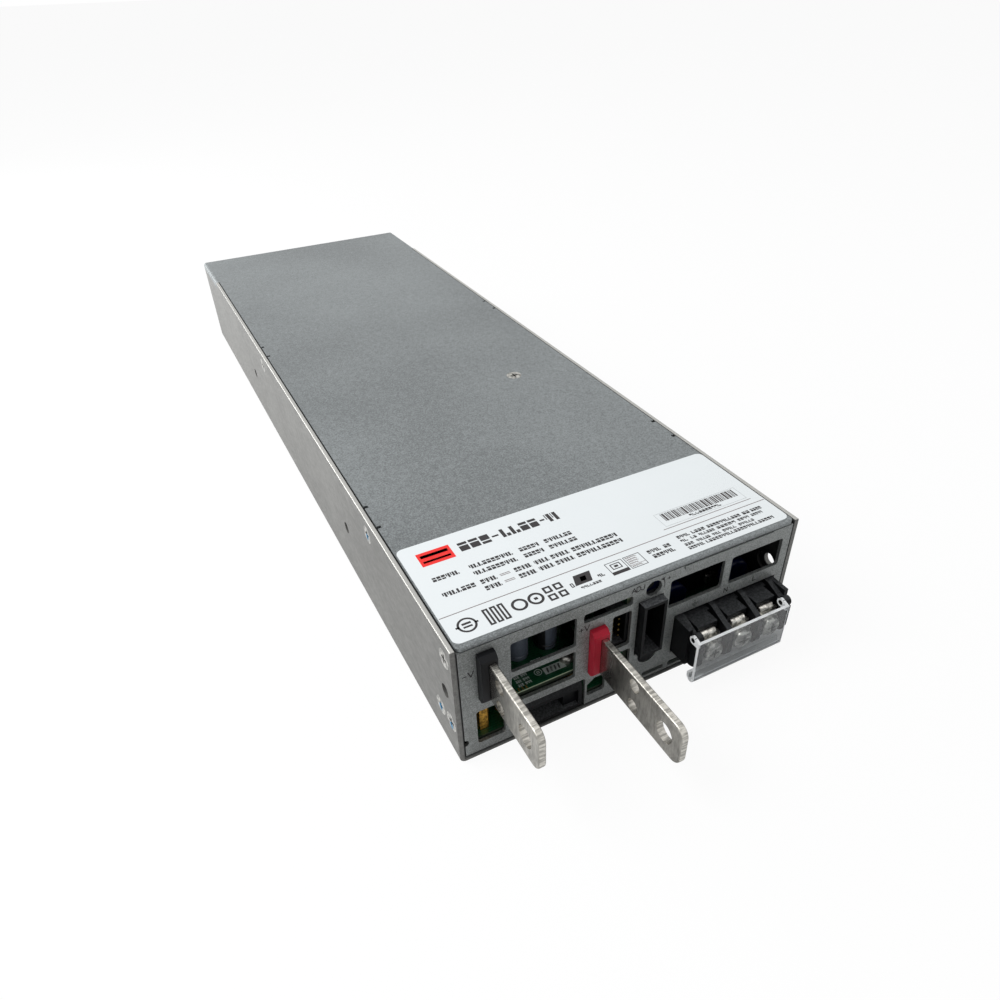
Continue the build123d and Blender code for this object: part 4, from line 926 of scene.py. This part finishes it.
class SUPPLY_OT_board_parts(bpy.types.Operator):
    """Capacitors, magnetics, heatsinks and power devices"""
    bl_idname = "supply.board_parts"
    bl_label = "Board parts"

    def execute(self, context):
        metal = context.scene.supply_metal
        plastic = context.scene.supply_moulding
        dress(self.sleeved("output_can", plastic.sleeve, plastic.sleeve_back, Z, OUTPUT_CAN_TOP),
              "output_capacitors")
        dress(self.sleeved("bulk_can", scaled(plastic.black, 1.4), plastic.sleeve_back, Y,
                           BULK_CAN_TOP), "bulk_capacitors")
        dress(moulded("ferrite", plastic.ferrite, 0.6, 0.5), "transformer_cores",
              "boost_choke_cores")
        dress(moulded("coated_ferrite", plastic.coating, 0.5, 0.5), "filter_choke_cores")
        dress(self.wound("taped_winding", plastic.tape, 0.9), "transformer_windings")
        dress(self.wound("copper_winding", metal.copper, 1.1), "boost_choke_windings",
              "filter_choke_windings")
        # Film capacitor boxes painted near black as shade
        dress(moulded("film_capacitor_box", plastic.shaded_film_box, 0.4), "film_capacitors")
        # Disc capacitors in blue darkened as painted shade
        dress(moulded("disc_lacquer", plastic.blue, 0.3, 0.8, 0.02, shine=0.3), "disc_capacitors")
        dress(moulded("device_moulding", plastic.black, 0.55), "inrush_relay", "power_transistors",
              "bridge_rectifiers")
        dress(moulded("fuse_ceramic", plastic.ceramic, 0.3, spread=0.08), "fuse_tube")
        dress(plated_metal("nickel_cap", metal.nickel, 0.12), "fuse_caps")
        dress(plated_metal("heatsink_aluminium", metal.heatsink, 0.4, 0.8), "heatsinks")
        return {"FINISHED"}

    def sleeved(self, name, colour, back, axis, end):
        """Can in a dark sleeve with a wide stripe of colour and a bare aluminium end."""
        material, shade = new_material(name)
        bare = shade.along(axis).rise(end - 0.4, end - 0.2)
        flow = shade.noise(2.2, 3.0, 0.5)
        turned = 0.36 * shade.facing(X) - 0.93 * shade.facing(Y)
        plain = shade.along(X).rise(PLAIN_SLEEVE, PLAIN_SLEEVE - 0.2)
        stripe = turned.rise(0.6, 0.64).largest(plain)
        tint = shade.blend(flow, scaled(colour, 0.8), scaled(colour, 1.25))
        tint = shade.blend(stripe, back, tint)
        tint = shade.blend(bare, tint, bpy.context.scene.supply_metal.can_end)
        shade.surface(flow, 0.01, base_color=tint, metallic=0.9 * bare,
                      roughness=0.3 + 0.1 * flow, specular_ior_level=0.3)
        return material

    def wound(self, name, colour, pitch):
        """Close turns of wire or tape, pitch millimetres apart, with painted shade in the creases
        between turns.
        """
        material, shade = new_material(name)
        turns = abs((shade.along(Z) / pitch).fraction() - 0.5) * 2.0
        # Painted shade: the creases between turns are coloured darker
        tint = shade.blend(turns.rise(0.5, 0.95), colour, scaled(colour, 0.45))
        shade.surface(1.0 - turns ** 2.0, 0.2, base_color=tint, metallic=0.5,
                      roughness=0.34 + 0.15 * turns)
        return material


class SUPPLY_OT_fans(bpy.types.Operator):
    """Frames and impellers of the rear fans"""
    bl_idname = "supply.fans"
    bl_label = "Fans"

    def execute(self, context):
        plastic = context.scene.supply_moulding
        dress(moulded("fan_frame_moulding", scaled(plastic.black, 0.9), 0.5, 0.3),
              "fan_frame_left", "fan_frame_right")
        dress(moulded("impeller_moulding", scaled(plastic.black, 1.3), 0.42, 0.3),
              "fan_impeller_left", "fan_impeller_right")
        return {"FINISHED"}


class SUPPLY_OT_stage(bpy.types.Operator):
    """Pale floor, soft lights and the camera"""
    bl_idname = "supply.stage"
    bl_label = "Studio"

    def execute(self, context):
        studio = context.scene.supply_studio
        self.lay_floor(context, studio.floor)
        self.light_room(context, studio.room_level)
        for name, place, target, size, share in LAMPS:
            self.hang_lamp(context, name, place, target, size, studio.key_power * share)
        self.set_camera(context, studio)
        context.scene.view_settings.view_transform = "Standard"
        return {"FINISHED"}

    def lay_floor(self, context, colour):
        """Wide floor that shows almost white to the camera and keeps the soft shadow."""
        material, shade = new_material("studio_floor")
        rays = shade.node("ShaderNodeLightPath", output="Is Camera Ray")
        grain = shade.noise(40.0, 2.0, 0.5)
        tint = shade.blend(grain, colour, scaled(colour, 1.02))
        base = shade.node("ShaderNodeBsdfDiffuse", None, {"Color": tint})
        glow = shade.node("ShaderNodeEmission", None, {"Color": (1.0, 1.0, 1.0), "Strength": 1.0})
        shade.output(shade.node("ShaderNodeMixShader", None, {0: rays * 0.93, 1: base, 2: glow}))
        mesh = bmesh.new()
        bmesh.ops.create_grid(mesh, x_segments=8, y_segments=8, size=FLOOR_HALF)
        data = bpy.data.meshes.new("floor")
        mesh.to_mesh(data)
        mesh.free()
        data.materials.append(material)
        floor = bpy.data.objects.new("floor", data)
        floor.location.z = -FLOOR_DROP
        context.scene.collection.objects.link(floor)

    def light_room(self, context, level):
        """Even room light; camera, glossy and transmission rays see the white backdrop."""
        world = bpy.data.worlds.new("studio_room")
        world.use_nodes = True
        context.scene.world = world
        shade = Shade(world.node_tree)
        seen = reduce(Field.largest, [shade.node("ShaderNodeLightPath", output=ray) for ray in
                                      ("Is Camera Ray", "Is Glossy Ray", "Is Transmission Ray")])
        light = shade.node("ShaderNodeBackground", None, {
            "Color": (1.0, 1.0, 1.0), "Strength": seen * (1.0 - level) + level})
        shade.node("ShaderNodeOutputWorld", None, {"Surface": light})

    def hang_lamp(self, context, name, place, target, size, power):
        """Large soft lamp aimed at a point."""
        data = bpy.data.lights.new(name, "AREA")
        data.shape = "DISK"
        data.size = size
        data.energy = power
        lamp = bpy.data.objects.new(name, data)
        lamp.location = place
        aim = Vector(target) - Vector(place)
        lamp.rotation_euler = aim.to_track_quat("-Z", "Y").to_euler()
        context.scene.collection.objects.link(lamp)

    def set_camera(self, context, studio):
        """Camera at the photograph's place."""
        data = bpy.data.cameras.new("camera")
        data.sensor_width = 36.0
        data.lens = studio.camera_lens
        data.shift_x, data.shift_y = studio.camera_shift
        data.clip_start = 0.01
        camera = bpy.data.objects.new("camera", data)
        camera.location = studio.camera_place
        camera.rotation_euler = studio.camera_turn
        context.scene.collection.objects.link(camera)
        context.scene.camera = camera


OPERATORS = (SUPPLY_OT_case, SUPPLY_OT_fasteners, SUPPLY_OT_label, SUPPLY_OT_marks,
             SUPPLY_OT_blades, SUPPLY_OT_terminals, SUPPLY_OT_connectors, SUPPLY_OT_boards,
             SUPPLY_OT_board_parts, SUPPLY_OT_fans, SUPPLY_OT_stage)


class SUPPLY_PT_panel(bpy.types.Panel):
    """Sidebar panel with the pieces and their colours"""
    bl_idname = "SUPPLY_PT_panel"
    bl_label = "Power Supply"
    bl_space_type = "VIEW_3D"
    bl_region_type = "UI"
    bl_category = "Power Supply"

    def draw(self, context):
        for operator in OPERATORS:
            self.layout.operator(operator.bl_idname)
        for name, group in GROUPS:
            box = self.layout.box()
            for key in group.__annotations__:
                box.prop(getattr(context.scene, name), key)


def register():
    """Register the groups of properties, the operators and the panel."""
    for name, group in GROUPS:
        bpy.utils.register_class(group)
        setattr(bpy.types.Scene, name, PointerProperty(type=group))
    for item in (*OPERATORS, SUPPLY_PT_panel):
        bpy.utils.register_class(item)


def unregister():
    """Undo register."""
    for item in reversed((*OPERATORS, SUPPLY_PT_panel)):
        bpy.utils.unregister_class(item)
    for name, group in reversed(GROUPS):
        delattr(bpy.types.Scene, name)
        bpy.utils.unregister_class(group)


def main():
    """Dress the model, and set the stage."""
    register()
    for step in ("case", "fasteners", "label", "marks", "blades", "terminals", "connectors",
                 "boards", "board_parts", "fans", "stage"):
        getattr(bpy.ops.supply, step)()


if __name__ == "__main__":
    main()
